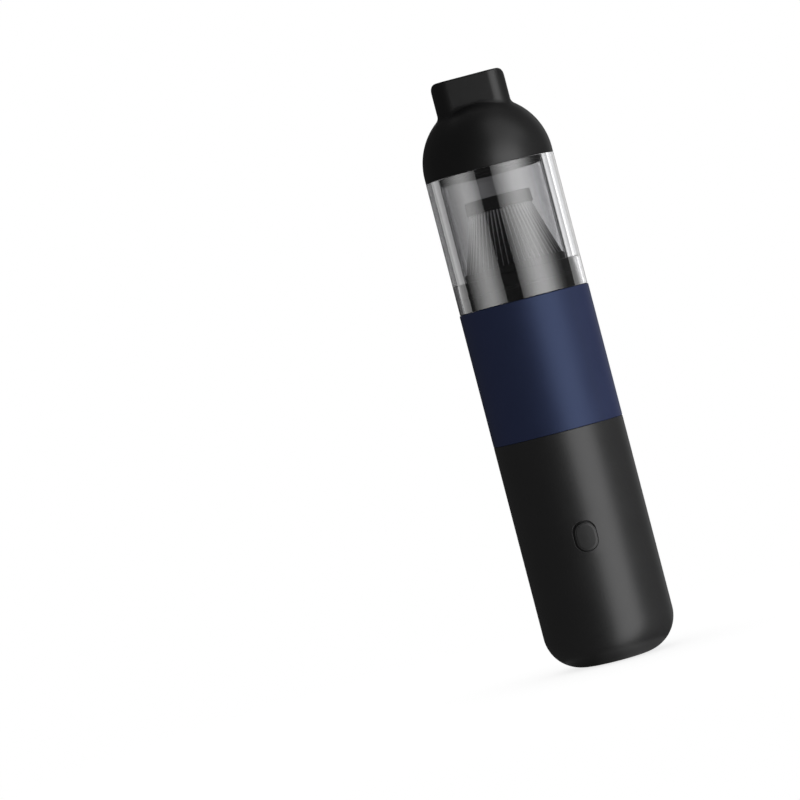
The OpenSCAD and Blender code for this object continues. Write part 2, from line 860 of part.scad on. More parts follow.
module motor_end_cap() {
  color(black)
    difference() {
      union() {
        translate([0, 0, z_end_cap]) cylinder(r = motor_r, h = end_cap_t);
        translate([0, 0, z_motor - cut]) cylinder(r = can_in_r - press_gap, h = end_cap_plug + cut);
      }
      translate([0, 0, z_rear_bearing]) cylinder(r = bearing_r + press_gap, h = 2 * end_cap_t);
      translate([0, 0, z_end_cap - cut]) cylinder(r = bearing_r - bearing_seat_w, h = end_cap_t);
    }
}

module motor_magnets() {
  color(dark)
    difference() {
      translate([0, 0, z_core - magnet_extra])
        ring(can_in_r - press_gap, can_in_r - magnet_t, core_h + 2 * magnet_extra);
      translate([0, 0, z_core + core_h / 2])
        cube([magnet_gap_w, 2 * motor_d, 2 * core_h], center = true);
    }
}

module motor_brushes() {
  brush_in = commutator_r + brush_gap;
  brush_out = can_in_r - brush_inset;
  color(rubber)
    both_sides()
      translate([brush_in, -brush_w / 2, z_motor + end_cap_plug])
        cube([brush_out - brush_in, brush_w, brush_h]);
}

module motor_terminals() {
  color(brass)
    both_sides()
      translate([terminal_x - terminal_t / 2, -terminal_w / 2, z_terminal])
        cube([terminal_t, terminal_w, terminal_h]);
}

module bearing() {
  difference() {
    cylinder(r = bearing_r, h = bearing_h);
    translate([0, 0, -cut]) cylinder(r = shaft_r + run_fit, h = bearing_h + 2 * cut);
  }
}

module front_bearing() {
  color(steel) translate([0, 0, z_front_bearing]) bearing();
}

module rear_bearing() {
  color(steel) translate([0, 0, z_rear_bearing]) bearing();
}

module motor_damper() {
  color(rubber)
    translate([0, 0, z_damper]) ring(damper_r, motor_r + press_gap, damper_h);
}

module motor_shaft() {
  color(steel)
    translate([0, 0, z_end_cap + shaft_tail])
      cylinder(r = shaft_r, h = z_hub_top + nut_h + shaft_nose - z_end_cap - shaft_tail);
}

module armature() {
  slots = 5;
  slot_mouth_r = core_r - core_rim;
  color(steel)
    translate([0, 0, z_core])
      linear_extrude(core_h)
        difference() {
          circle(core_r);
          circle(shaft_r + press_gap);
          around(slots)
            translate([slot_mouth_r - core_slot_w / 2, -core_slot_w / 4]) square([core_r, core_slot_w / 2]);
          around(slots)
            intersection() {
              difference() {
                circle(slot_mouth_r);
                circle(core_foot_r);
              }
              translate([0, -core_slot_w]) square([core_r, 2 * core_slot_w]);
            }
        }
}

module armature_windings() {
  winding_r = core_r - winding_inset;
  color(copper)
    for (z = [z_core - winding_h, z_core + core_h])
      translate([0, 0, z]) ring(winding_r, commutator_r, winding_h);
}

module commutator() {
  bars = 5;
  color(brass)
    translate([0, 0, z_commutator])
      linear_extrude(commutator_h)
        difference() {
          circle(commutator_r);
          circle(shaft_r + press_gap);
          around(bars)
            translate([commutator_r - bar_gap_depth, -bar_gap_w / 2])
              square([2 * bar_gap_depth, bar_gap_w]);
        }
}

// Backward curved blade, cut from an arc that runs from the hub to the rim
module blade_outline() {
  arc_r = impeller_r * blade_bend;
  intersection() {
    difference() {
      circle(impeller_r - blade_rim_gap);
      circle(blade_foot_r);
    }
    translate([(hub_r + blade_foot_r) / 2, arc_r])
      difference() {
        circle(arc_r + blade_t / 2);
        circle(arc_r - blade_t / 2);
      }
    translate([0, -impeller_r]) square([impeller_r, 2 * impeller_r]);
  }
}

module impeller() {
  color(dark)
    difference() {
      union() {
        translate([0, 0, z_impeller]) cylinder(r = impeller_r, h = back_plate_t);
        translate([0, 0, z_impeller]) cylinder(r = hub_r, h = z_hub_top - z_impeller);
        translate([0, 0, z_impeller + back_plate_t / 2])
          linear_extrude(impeller_h - back_plate_t / 2)
            around(blade_count) blade_outline();
      }
      translate([0, 0, z_impeller - cut]) cylinder(r = shaft_r + press_gap, h = impeller_h + 2 * cut);
    }
}

module impeller_nut() {
  color(brass)
    translate([0, 0, z_hub_top])
      difference() {
        cylinder(r = nut_r, h = nut_h, $fn = 6);
        translate([0, 0, -cut]) cylinder(r = shaft_r + press_gap, h = nut_h + 2 * cut);
      }
}

// Fasteners

module collar_screws() {
  color(steel)
    around(3)
      translate([collar_screw_r, 0, z_seat - collar_head_h])
        screw(collar_shank_r, collar_shank_l, collar_head_r, collar_head_h);
}

module motor_screws() {
  shank_l = bulkhead_t - motor_head_h + can_front_t + motor_screw_bite;
  color(steel)
    both_sides()
      translate([motor_screw_x, 0, z_bulkhead_top - motor_head_h])
        screw(motor_shank_r, shank_l, motor_head_r, motor_head_h);
}

module board_screws() {
  color(steel)
    both_sides()
      for (z = post_zs)
        translate([post_x, board_front_y, z])
          rotate([90, 0, 0])
            screw(board_screw_r, board_t + pilot_l - pilot_room, board_head_r, board_head_h);
}

// Battery, boards and leads

module cell_places() {
  both_sides() translate([cell_x, cell_back, 0]) children();
}

// Shelf of the cradle with a low wall round the foot or the head of each cell
module cell_shelf(z, rim_z) {
  translate([-shelf_half, wall_front_y, z])
    cube([2 * shelf_half, shelf_back_y - wall_front_y, cradle_t]);
  intersection() {
    difference() {
      cell_places() translate([0, 0, rim_z]) cylinder(r = cell_r + cell_play + cell_rim_t, h = cell_rim_h);
      cell_places()
        translate([0, 0, rim_z - cut]) cylinder(r = cell_r + cell_play, h = cell_rim_h + 2 * cut);
    }
    translate([-shelf_half, wall_front_y, rim_z])
      cube([2 * shelf_half, shelf_back_y - wall_front_y, cell_rim_h]);
  }
}

module battery_cradle() {
  color(dark)
    difference() {
      union() {
        cell_shelf(z_shelf, z_tab_low - cell_rim_sink);
        cell_shelf(z_top_shelf, z_top_shelf + cell_rim_sink - cell_rim_h);
        translate([-wall_half, wall_front_y, z_shelf])
          cube([2 * wall_half, cradle_t, z_wall_top - z_shelf]);
        both_sides()
          translate([arm_in, wall_front_y, z_shelf])
            cube([wall_half - arm_in, cradle_t, z_housing - z_shelf]);
        both_sides()
          for (y = [wall_back_y + leg_inset, cell_back + leg_inset])
            translate([leg_x, y, base_floor + seat_gap]) cylinder(r = leg_r, h = cradle_leg_h + cut);
        both_sides()
          for (z = post_zs)
            translate([post_x, wall_back_y - cradle_t / 2, z])
              rotate([90, 0, 0])
                cylinder(r = post_r, h = wall_back_y - cradle_t / 2 - board_back_y);
        translate([-charge_board_half, shelf_back_y - cut, z_shelf])
          cube([2 * charge_board_half, tongue_back_y - shelf_back_y + cut, cradle_t]);
        both_sides()
          translate([charge_post_x, charge_post_y, z_shelf + cradle_t / 2])
            cylinder(r = charge_post_r, h = z_charge_board - z_shelf - cradle_t / 2);
      }
      both_sides()
        for (z = post_zs)
          translate([post_x, board_back_y - cut, z])
            rotate([-90, 0, 0]) cylinder(r = board_screw_r + press_gap, h = pilot_l + cut);
      both_sides()
        translate([cell_x, cell_back, z_top_shelf - cut])
          cylinder(r = lead_hole_r, h = cradle_t + 2 * cut);
      both_sides()
        translate([charge_lead_x, charge_lead_y, z_shelf - cut])
          cylinder(r = lead_hole_r, h = cradle_t + 2 * cut);
      translate([-cell_x, cell_back - tab_w / 2 - slide_fit, z_tab_low])
        cube([2 * cell_x, tab_w + 2 * slide_fit, cell_rim_h]);
    }
}

module battery_cells() {
  color([0.2, 0.42, 0.68])
    cell_places()
      translate([0, 0, z_cells])
        difference() {
          cylinder(r = cell_r, h = cell_l);
          translate([0, 0, cell_l - groove_rise]) ring(cell_r + cut, cell_r - groove_depth, groove_w);
        }
}

module battery_tabs() {
  color(steel) {
    translate([-cell_x - tab_w / 2, cell_back - tab_w / 2, z_tab_low])
      cube([2 * cell_x + tab_w, tab_w, tab_t]);
    cell_places() translate([-tab_w / 2, -tab_w / 2, z_tab_high]) cube([tab_w, tab_w, tab_t]);
  }
}

module control_board() {
  color(board_green)
    difference() {
      to_front(board_back_y, z_board + board_h / 2, board_t) rounded_rect(board_w, board_h, board_corner);
      both_sides()
        for (z = post_zs)
          translate([post_x, board_back_y + cut, z])
            rotate([90, 0, 0]) cylinder(r = board_screw_r + slide_fit, h = board_t + 2 * cut);
    }
}

module chip_outline(chip) {
  rounded_rect(chip[0], chip[1], chip_corner);
}

module board_parts() {
  color(dark) {
    to_back(board_back_y, z_board + coil_z, coil_h)
      difference() {
        circle(coil_r);
        circle(coil_r / 2);
      }
    translate([capacitor_at[0], 0, 0])
      to_back(board_back_y, z_board + capacitor_at[1], capacitor_h) circle(capacitor_r);
    translate([driver_at[0], 0, 0])
      to_back(board_back_y, z_board + driver_at[1], driver[2]) chip_outline(driver);
    to_back(board_back_y, z_board + controller_z, controller[2]) chip_outline(controller);
    to_front(board_front_y, z_board + header_z, header[2]) chip_outline(header);
  }
}

module switch_body() {
  color(black)
    difference() {
      to_front(board_front_y, button_z, switch_t) rounded_rect(switch_w, switch_w, chip_corner);
      to_front(board_front_y - switch_t + plunger_in + button_travel + plunger_room, button_z, switch_t)
        circle(plunger_r + run_fit);
    }
}

module charge_board() {
  color(board_green)
    translate([-charge_board_half, charge_board_y, z_charge_board])
      cube([2 * charge_board_half, charge_board_back - charge_board_y, board_t]);
}

module usb_socket() {
  mouth_y = sqrt(pow(handle_in_r, 2) - pow(inlet_w / 2, 2)) - inlet_inset;
  back_y = mouth_y - inlet_l;
  color(steel)
    difference() {
      to_back(back_y, inlet_z, inlet_l) inlet_outline(0);
      difference() {
        to_back(back_y + inlet_back_t, inlet_z, inlet_l) inlet_outline(-inlet_shell_t);
        to_back(back_y + inlet_back_t / 2, inlet_z, inlet_tongue[2])
          square([inlet_tongue[0], inlet_tongue[1]], center = true);
      }
    }
}

module motor_leads() {
  color([0.7, 0.1, 0.08]) both_sides() lead(motor_lead_route);
}

module battery_leads() {
  color([0.7, 0.1, 0.08]) both_sides() lead(battery_lead_route);
}

module charge_leads() {
  color([0.15, 0.15, 0.15]) both_sides() lead(charge_lead_route);
}

// Power button

module power_button() {
  face_depth = body_r + flange_back_y;
  color(dark) {
    difference() {
      intersection() {
        to_front(flange_back_y, button_z, face_depth) button_outline(0);
        cylinder(r = pad_r, h = z_seam);
      }
      difference() {
        ring(body_r + cut, button_face_r, z_seam);
        to_front(flange_back_y, button_z, face_depth + cut) rounded_rect(pad_w, pad_h, pad_corner);
      }
    }
    intersection() {
      to_front(flange_back_y, button_z, face_depth) button_outline(button_flange);
      cylinder(r = flange_face_r, h = z_seam);
    }
    to_front(stem_end_y, button_z, stem_end_y - flange_back_y + stem_sink) circle(stem_r);
  }
}

module switch_plunger() {
  color(steel)
    to_front(board_front_y - switch_t + plunger_in, button_z, plunger_out + plunger_in)
      circle(plunger_r);
}

// Dust cup

module clear_cup() {
  z_low = z_rim + seat_gap;
  color(smoke)
    rotate_extrude()
      polygon([
        [cup_r - cup_bevel, z_low],
        [cup_r, z_low + cup_bevel],
        [cup_r, z_cup_top - cup_bevel],
        [cup_r - cup_bevel, z_cup_top],
        [cavity_r, z_cup_top],
        [cavity_r, z_socket_top],
        [socket_r - collar_draft, z_socket_top],
        [socket_r, z_low]
      ]);
}

module nozzle_outline(inset) {
  rounded_rect(nozzle_w - 2 * inset, nozzle_depth - 2 * inset, nozzle_corner - inset);
}

// Ears of the flap's hinge, rounded below and trimmed by the inside of the dome
module hinge_ears() {
  ear_y = nozzle_depth / 2 - nozzle_wall;
  ear_back_y = hinge_y + ear_reach;
  z_ear_top = z_flap_seat + ear_rise;
  intersection() {
    both_sides()
      translate([ear_in, 0, 0])
        rotate([90, 0, 90])
          linear_extrude(flap_ear_w)
            difference() {
              union() {
                translate([hinge_y, z_hinge]) circle(ear_reach);
                translate([hinge_y - ear_reach, z_hinge]) square([2 * ear_reach, z_ear_top - z_hinge]);
                translate([ear_y, z_flap_seat]) square([ear_back_y - ear_y, ear_rise]);
              }
              translate([hinge_y, z_hinge]) circle(flap_pin_d / 2 + press_gap);
            }
    translate([0, 0, z_dome]) sphere(dome_in_r + dome_wall / 2);
  }
}

module front_dome() {
  nozzle_h = z_mouth - z_flap_seat;
  color(black)
    difference() {
      union() {
        difference() {
          union() {
            intersection() {
              translate([0, 0, z_dome]) sphere(cup_r);
              translate([-body_r, -body_r, z_dome]) cube([body_d, body_d, body_r]);
            }
            translate([0, 0, z_cup_top]) cylinder(r = cup_r, h = dome_skirt);
          }
          translate([0, 0, z_dome]) sphere(dome_in_r);
          translate([0, 0, z_cup_top - cut]) cylinder(r = dome_in_r, h = dome_skirt + cut);
        }
        intersection() {
          translate([0, 0, z_flap_seat]) linear_extrude(nozzle_h) nozzle_outline(0);
          to_front(body_r, z_mouth - nozzle_h, body_d)
            rounded_rect(nozzle_w, 2 * nozzle_h, nozzle_edge);
          translate([-body_r, 0, z_mouth - nozzle_h])
            rotate([90, 0, 90])
              linear_extrude(body_d) rounded_rect(nozzle_depth, 2 * nozzle_h, nozzle_rim);
        }
        hinge_ears();
      }
      translate([0, 0, z_flap_seat - cut])
        linear_extrude(nozzle_h + 2 * cut) rounded_rect(duct_w, duct_depth, duct_corner);
    }
}

module dome_ring() {
  groove_h = dome_seal_d + 2 * seat_gap;
  color(black)
    difference() {
      rotate_extrude()
        polygon([
          [spigot_r - spigot_wall, z_cup_top - spigot_h],
          [spigot_r, z_cup_top - spigot_h],
          [spigot_r, z_cup_top],
          [ring_flange_r, z_cup_top],
          [ring_flange_r, z_cup_top + ring_t],
          [spigot_r - spigot_wall, z_cup_top + ring_t]
        ]);
      rotate_extrude()
        translate([dome_seal_r - dome_seal_d / 2 - press_gap, z_dome_seal - groove_h / 2])
          square([2 * dome_seal_d, groove_h]);
    }
}

module dome_seal() {
  color(rubber)
    rotate_extrude() translate([dome_seal_r, z_dome_seal]) circle(dome_seal_d / 2);
}

module flap_pin() {
  pin_half = ear_in + flap_ear_w;
  color(steel)
    translate([-pin_half, hinge_y, z_hinge])
      rotate([0, 90, 0]) cylinder(r = flap_pin_d / 2, h = 2 * pin_half);
}

module dust_flap() {
  flap_w = duct_w + 2 * flap_cover;
  z_flap = z_flap_seat - slide_fit - flap_t;
  color(rubber)
    difference() {
      union() {
        translate([0, 0, z_flap])
          linear_extrude(flap_t) rounded_rect(flap_w, flap_depth, duct_corner + flap_cover);
        translate([-flap_barrel_half, 0, z_flap])
          cube([flap_barrel_l, hinge_y, flap_t]);
        translate([-flap_barrel_half, hinge_y, z_hinge])
          rotate([0, 90, 0]) cylinder(r = flap_barrel_d / 2, h = flap_barrel_l);
      }
      translate([-body_r, hinge_y, z_hinge])
        rotate([0, 90, 0]) cylinder(r = flap_pin_d / 2 + run_fit, h = body_d);
    }
}

// Filter

module filter_cap() {
  color(black)
    rotate_extrude()
      polygon([
        [0, z_pleat_top + seat_gap],
        [cap_r - cap_rim_wall, z_pleat_top + seat_gap],
        [cap_r - cap_rim_wall, z_filter_cap],
        [cap_r, z_filter_cap],
        [cap_r - filter_cap_draft, z_filter_top - cap_edge],
        [cap_r - filter_cap_draft - cap_edge, z_filter_top],
        [0, z_filter_top]
      ]);
}

// Points of the folded paper, on its outer face or set in by its thickness
function pleat_points(inset) = [
  for (i = [0 : 2 * pleat_count - 1])
    let (a = i * 180 / pleat_count, r = pleat_foot_r - (i % 2) * pleat_depth - inset)
    [r * cos(a), r * sin(a)]
];

module filter_pleats() {
  n = 2 * pleat_count;
  color(dark)
    translate([0, 0, z_pleats])
      linear_extrude(pleat_h, scale = pleat_top_r / pleat_foot_r)
        polygon(
          points = concat(pleat_points(0), pleat_points(paper_t)),
          paths = [[for (i = [0 : n - 1]) i], [for (i = [0 : n - 1]) n + i]]
        );
}

module filter_cage() {
  window_h = pleat_h - 2 * cage_ring_h;
  window_w = body_r;
  color(dark)
    difference() {
      translate([0, 0, z_pleats])
        difference() {
          cylinder(r1 = cage_foot_r, r2 = cage_top_r, h = pleat_h);
          cylinder(r1 = cage_foot_r - cage_wall, r2 = cage_top_r - cage_wall, h = pleat_h);
        }
      difference() {
        translate([0, 0, z_pleats + cage_ring_h]) cylinder(r = window_w, h = window_h);
        around(cage_ribs)
          translate([0, -cage_rib_w / 2, z_pleats]) cube([window_w + cut, cage_rib_w, pleat_h]);
        translate([0, 0, z_pleats + pleat_h / 2])
          cylinder(r = window_w + cut, h = cage_ring_h, center = true);
      }
    }
}

module filter_base() {
  color(black)
    rotate_extrude()
      polygon([
        [filter_bore_r, z_filter_base],
        [filter_r - cup_bevel, z_filter_base],
        [filter_r, z_filter_base + cup_bevel],
        [filter_r, z_pleats - cup_bevel],
        [filter_r - cup_bevel, z_pleats],
        [filter_bore_r, z_pleats]
      ]);
}

module filter_gasket() {
  color(rubber)
    translate([0, 0, z_gasket]) ring(filter_r - gasket_inset, intake_r + gasket_lip, gasket_t);
}

handle_shell();
blue_sleeve();
motor_housing();
cup_collar();
collar_seal();
intake_guard();
fan_shroud();
motor_can();
motor_end_cap();
motor_magnets();
motor_brushes();
motor_terminals();
front_bearing();
rear_bearing();
motor_damper();
battery_cradle();
battery_cells();
battery_tabs();
control_board();
board_parts();
switch_body();
charge_board();
usb_socket();
motor_leads();
battery_leads();
charge_leads();
collar_screws();
motor_screws();
board_screws();
motor_shaft();
armature();
armature_windings();
commutator();
impeller();
impeller_nut();
power_button();
switch_plunger();
clear_cup();
front_dome();
dome_ring();
dome_seal();
flap_pin();
dust_flap();
filter_cap();
filter_pleats();
filter_cage();
filter_base();
filter_gasket();
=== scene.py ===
"""Looks of a cordless handheld vacuum cleaner for cars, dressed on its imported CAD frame.

Each operator makes one piece or a group of like pieces, and the last one sets the stage. Lengths are
metres in the frame of the CAD: +Z is up, the base stands on Z 0 and the power button faces -Y.
"""

import math

import bmesh
import bpy
from bpy.props import FloatProperty, FloatVectorProperty, IntProperty, PointerProperty
from mathutils import Matrix, Vector


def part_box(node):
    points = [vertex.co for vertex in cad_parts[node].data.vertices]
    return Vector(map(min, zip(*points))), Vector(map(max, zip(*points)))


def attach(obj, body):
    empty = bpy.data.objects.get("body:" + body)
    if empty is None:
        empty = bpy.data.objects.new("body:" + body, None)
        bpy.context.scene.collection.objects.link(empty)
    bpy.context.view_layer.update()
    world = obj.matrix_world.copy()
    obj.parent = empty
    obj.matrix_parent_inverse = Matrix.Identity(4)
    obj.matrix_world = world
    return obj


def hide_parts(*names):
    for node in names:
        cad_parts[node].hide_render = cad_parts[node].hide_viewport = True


bl_info = {
    "name": "Car vacuum cleaner looks",
    "version": (1, 0, 0),
    "blender": (4, 5, 0),
    "location": "3D View > Sidebar > Vacuum",
    "description": "Dresses the frame of a handheld vacuum cleaner with meshes, finishes and a studio",
    "category": "Object",
}

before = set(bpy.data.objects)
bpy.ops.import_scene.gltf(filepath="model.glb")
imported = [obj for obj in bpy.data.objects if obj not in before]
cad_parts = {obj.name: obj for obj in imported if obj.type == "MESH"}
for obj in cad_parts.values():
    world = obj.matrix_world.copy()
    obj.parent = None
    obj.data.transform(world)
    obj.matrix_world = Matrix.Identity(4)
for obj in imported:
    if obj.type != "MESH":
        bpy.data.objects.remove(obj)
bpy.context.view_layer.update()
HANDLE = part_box("handle_shell")
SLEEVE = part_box("blue_sleeve")
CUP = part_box("clear_cup")
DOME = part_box("front_dome")
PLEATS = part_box("filter_pleats")
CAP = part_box("filter_cap")
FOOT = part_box("filter_base")
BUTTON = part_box("power_button")
RADIUS, SEAM_Z = HANDLE[1].x, HANDLE[1].z
TURN = 2 * math.pi
HALF_TURN = math.pi
QUARTER = math.pi / 2
FRONT = -QUARTER
BACK = QUARTER
LOOK = "look_"


# Settings

def length(name, description, default):
    return FloatProperty(
        name=name, description=description, default=default, min=0.0, precision=5, unit="LENGTH"
    )


def amount(name, description, default, unit="NONE"):
    return FloatProperty(name=name, description=description, default=default, min=0.0, unit=unit)


def count(name, description, default, least, most):
    return IntProperty(name=name, description=description, default=default, min=least, max=most)


def colour(name, description, default):
    return FloatVectorProperty(
        name=name, description=description, default=default, size=3, min=0.0, max=1.0, subtype="COLOR"
    )


class VacuumBody(bpy.types.PropertyGroup):
    wall: length("Wall", "Wall of the handle and the sleeve", 0.0022)
    base_round: length("Base rounding", "Rounding between the base and the side", 0.0185)
    base_floor: length("Floor", "Thickness of the handle's floor", 0.0026)
    edge: length("Edge rounding", "Rounding of the edges at the seams", 0.0004)
    rebate: length("Rebate", "Depth of the sleeve's rebate for the collar", 0.0014)


class VacuumOpenings(bpy.types.PropertyGroup):
    vent_count: count("Outlet slots", "Number of outlet slots", 9, 1, 13)
    vent_pitch: amount("Slot pitch", "Angle between two outlet slots", math.radians(10), "ROTATION")
    vent_width: length("Slot width", "Width of an outlet slot", 0.0022)
    vent_height: length("Slot height", "Height of an outlet slot", 0.014)
    vent_z: length("Slot place", "Height of the middle of the outlet slots", 0.093)
    inlet_width: length("Inlet width", "Width of the opening for the charging inlet", 0.0096)
    inlet_height: length("Inlet height", "Height of the opening for the charging inlet", 0.00392)
    inlet_z: length("Inlet place", "Height of the middle of the charging inlet", 0.03)
    lip: length("Lip", "Rounding of the edges of the openings", 0.00035)


class VacuumButton(bpy.types.PropertyGroup):
    z: length("Place", "Height of the middle of the button", (BUTTON[0].z + BUTTON[1].z) / 2)
    well_width: length("Well width", "Width of the button's well", 0.0117)
    well_height: length("Well height", "Height of the button's well", 0.0151)
    well_corner: length("Well corner", "Corner radius of the button's well", 0.0053)
    gap: length("Gap", "Gap between the button and its well", 0.0005)
    sag: length("Sag", "How far the button hangs to the right and down in its well", 0.00043)
    corner: length("Corner", "Corner radius of the button", 0.00525)
    lip: length("Lip", "Rounding of the edge of the well", 0.00018)
    face_reach: length("Face reach", "Distance of the button's face from the axis", 0.0328)
    pad_reach: length("Pad reach", "Distance of the raised pad from the axis", 0.03289)
    face_bend: length("Face bend", "Radius of the button's face seen from the top", 0.06)
    pad_width: length("Pad width", "Width of the raised pad", 0.0084)
    pad_height: length("Pad height", "Height of the raised pad", 0.0117)
    pad_corner: length("Pad corner", "Corner radius of the raised pad", 0.0041)
    bevel: length("Pad bevel", "Width of the slope round the raised pad", 0.0006)
    edge: length("Edge rounding", "Width of the rounding of the button's edge", 0.0004)
    edge_drop: length("Edge drop", "Depth of the rounding of the button's edge", 0.0002)
    flange: length("Flange", "How far the button's flange stands out behind the wall", 0.0013)
    flange_radius: length("Flange radius", "Distance of the flange's face from the axis", 0.0305)
    flange_depth: length("Flange depth", "Distance of the flange's back from the axis", 0.028)
    stem_radius: length("Stem radius", "Radius of the stem that presses the switch", 0.0022)
    stem_depth: length("Stem depth", "Distance of the stem's end from the axis", 0.0246)


class VacuumCup(bpy.types.PropertyGroup):
    cavity_radius: length("Cavity radius", "Radius of the dust chamber", 0.0259)
    socket_radius: length("Socket radius", "Radius of the socket over the collar", 0.03045)
    draft: length("Draft", "How much the socket narrows upwards", 0.0008)
    socket_z: length("Socket height", "Height of the top of the socket", CUP[0].z + 0.0144)
    edge: length("Edge rounding", "Rounding of the cup's edges", 0.0003)


class VacuumNozzle(bpy.types.PropertyGroup):
    dome_wall: length("Dome wall", "Wall of the dome", 0.0025)
    dome_z: length("Dome centre", "Height of the half ball's centre", DOME[0].z + 0.0027)
    width: length("Width", "Width of the nozzle", 0.0373)
    depth: length("Depth", "Depth of the nozzle from front to back", 0.027)
    corner: length("Corner", "Corner radius of the nozzle seen from the top", 0.0085)
    wall: length("Wall", "Wall of the nozzle", 0.0022)
    rim_round: length("Rim rounding", "Rounding of the mouth's left and right ends", 0.0032)
    rim_edge: length("Rim edge", "Rounding of the outer edge of the rim", 0.0009)
    foot_round: length("Foot rounding", "Hollow rounding at the foot of the nozzle's narrow sides", 0.0038)
    foot_front: length("Front foot rounding", "Hollow rounding at the foot of its front and back", 0.0016)
    seat_z: length("Flap seat", "Height of the lower end of the duct", DOME[0].z + 0.021)


class VacuumFilter(bpy.types.PropertyGroup):
    pleats: count("Pleats", "Number of folds of the filter paper", 60, 12, 120)
    top_radius: length("Top radius", "Outer radius of the pleats under the cap", 0.0155)
    fold_depth: length("Fold depth", "Depth of a pleat at the base", 0.003)
    paper: length("Paper", "Thickness of the filter paper", 0.0004)
    cap_draft: length("Cap draft", "How much the cap narrows upwards", 0.0004)
    bore_radius: length("Bore radius", "Radius of the bore in the filter's base", 0.019)


class VacuumColours(bpy.types.PropertyGroup):
    black: colour("Black", "Black of the handle and the dome", (0.018, 0.018, 0.0184))
    navy: colour("Navy", "Blue of the sleeve", (0.019, 0.025, 0.07))
    smoke: colour("Smoke", "Tint of the clear cup", (0.54, 0.54, 0.55))
    paper: colour("Paper", "Pale grey of the clean filter paper", (0.72, 0.72, 0.73))


class VacuumStage(bpy.types.PropertyGroup):
    distance: length("Camera distance", "Distance of the camera from the axis", 2.2)
    height: length("Camera height", "Height of the camera above the floor", 0.165)
    focal: amount("Focal length", "Focal length in pixels", 4426.0)
    roll: amount("Roll", "How far the picture leans to the left", math.radians(14.615), "ROTATION")
    aim_z: length("Aim height", "Height of the point of the axis that the picture is hung on", 0.1072)
    aim_across: amount("Aim across", "Pixel column of that point", 562.95)
    aim_down: amount("Aim down", "Pixel row of that point", 450.0)
    key: amount("Key light", "Radiance of the main softbox", 2.8)
    side: amount("Side light", "Radiance of the soft light from the right", 2.1)
    cup: amount("Cup lights", "Radiance of the panels that the cup mirrors", 4.0)
    ambient: amount("Ambient", "Strength of the even light from all round", 0.4)


class VacuumSettings(bpy.types.PropertyGroup):
    body: PointerProperty(type=VacuumBody)
    openings: PointerProperty(type=VacuumOpenings)
    button: PointerProperty(type=VacuumButton)
    cup: PointerProperty(type=VacuumCup)
    nozzle: PointerProperty(type=VacuumNozzle)
    filter: PointerProperty(type=VacuumFilter)
    colours: PointerProperty(type=VacuumColours)
    stage: PointerProperty(type=VacuumStage)


# Node trees

class Wires:
    """Adds and joins the nodes of one tree."""

    def __init__(self, tree):
        self.tree = tree

    def put(self, socket, value):
        if isinstance(value, bpy.types.NodeSocket):
            self.tree.links.new(value, socket)
        else:
            socket.default_value = value

    def add(self, kind, *values, setup=None, **inputs):
        """Adds a node, fills its first inputs in order and others by name, and gives back its outputs."""
        node = self.tree.nodes.new(kind)
        for name, value in (setup or {}).items():
            setattr(node, name, value)
        for socket, value in zip(node.inputs, values):
            self.put(socket, value)
        for name, value in inputs.items():
            self.put(node.inputs[name.replace("_", " ")], value)
        return node.outputs

    def math(self, operation, *values):
        return self.add("ShaderNodeMath", *values, setup={"operation": operation})[0]

    def plus(self, a, b):
        return self.math("ADD", a, b)

    def minus(self, a, b):
        return self.math("SUBTRACT", a, b)

    def times(self, a, b):
        return self.math("MULTIPLY", a, b)

    def over(self, a, b):
        return self.math("DIVIDE", a, b)

    def mix(self, share, a, b):
        return self.plus(self.times(self.minus(1.0, share), a), self.times(share, b))

    def map_range(self, value, low, high, start=0.0, end=1.0, kind="LINEAR"):
        return self.add(
            "ShaderNodeMapRange", setup={"interpolation_type": kind},
            Value=value, From_Min=low, From_Max=high, To_Min=start, To_Max=end,
        )[0]

    def ramp(self, value, stops):
        """Grey tones at places from 0 to 1."""
        node = self.tree.nodes.new("ShaderNodeValToRGB")
        self.put(node.inputs["Fac"], value)
        marks = node.color_ramp.elements
        while len(marks) < len(stops):
            marks.new(0.5)
        for mark, (place, tone) in zip(marks, stops):
            mark.position = place
            mark.color = (tone, tone, tone, 1.0)
        return node.outputs["Color"]

    def place(self):
        return self.add("ShaderNodeTexCoord")["Object"]

    def split(self, vector):
        return self.add("ShaderNodeSeparateXYZ", vector)

    def scale(self, vector, share):
        return self.add("ShaderNodeVectorMath", vector, setup={"operation": "SCALE"}, Scale=share)[0]

    def size(self, vector):
        return self.add("ShaderNodeVectorMath", vector, setup={"operation": "LENGTH"})["Value"]

    def blend(self, share, a, b):
        return self.add("ShaderNodeMix", setup={"data_type": "RGBA"}, Factor=share, A=a, B=b)["Result"]

    def noise(self, vector, scale, detail=2.0, roughness=0.5):
        return self.add(
            "ShaderNodeTexNoise", Vector=vector, Scale=scale, Detail=detail, Roughness=roughness
        )["Fac"]

    def relief(self, height, depth):
        return self.add("ShaderNodeBump", Height=height, Distance=depth, Strength=1.0)["Normal"]

    def group(self, name, **inputs):
        return self.add("ShaderNodeGroup", setup={"node_tree": bpy.data.node_groups[name]}, **inputs)

    def end(self, shader, kind="Material"):
        self.add("ShaderNodeOutput" + kind, Surface=shader)

    def principled(self, **inputs):
        self.end(self.add("ShaderNodeBsdfPrincipled", **inputs)["BSDF"])


def clear_tree(owner):
    """Empties the node tree of a material, a lamp or a world and gives back its wires."""
    owner.use_nodes = True
    owner.node_tree.nodes.clear()
    return Wires(owner.node_tree)


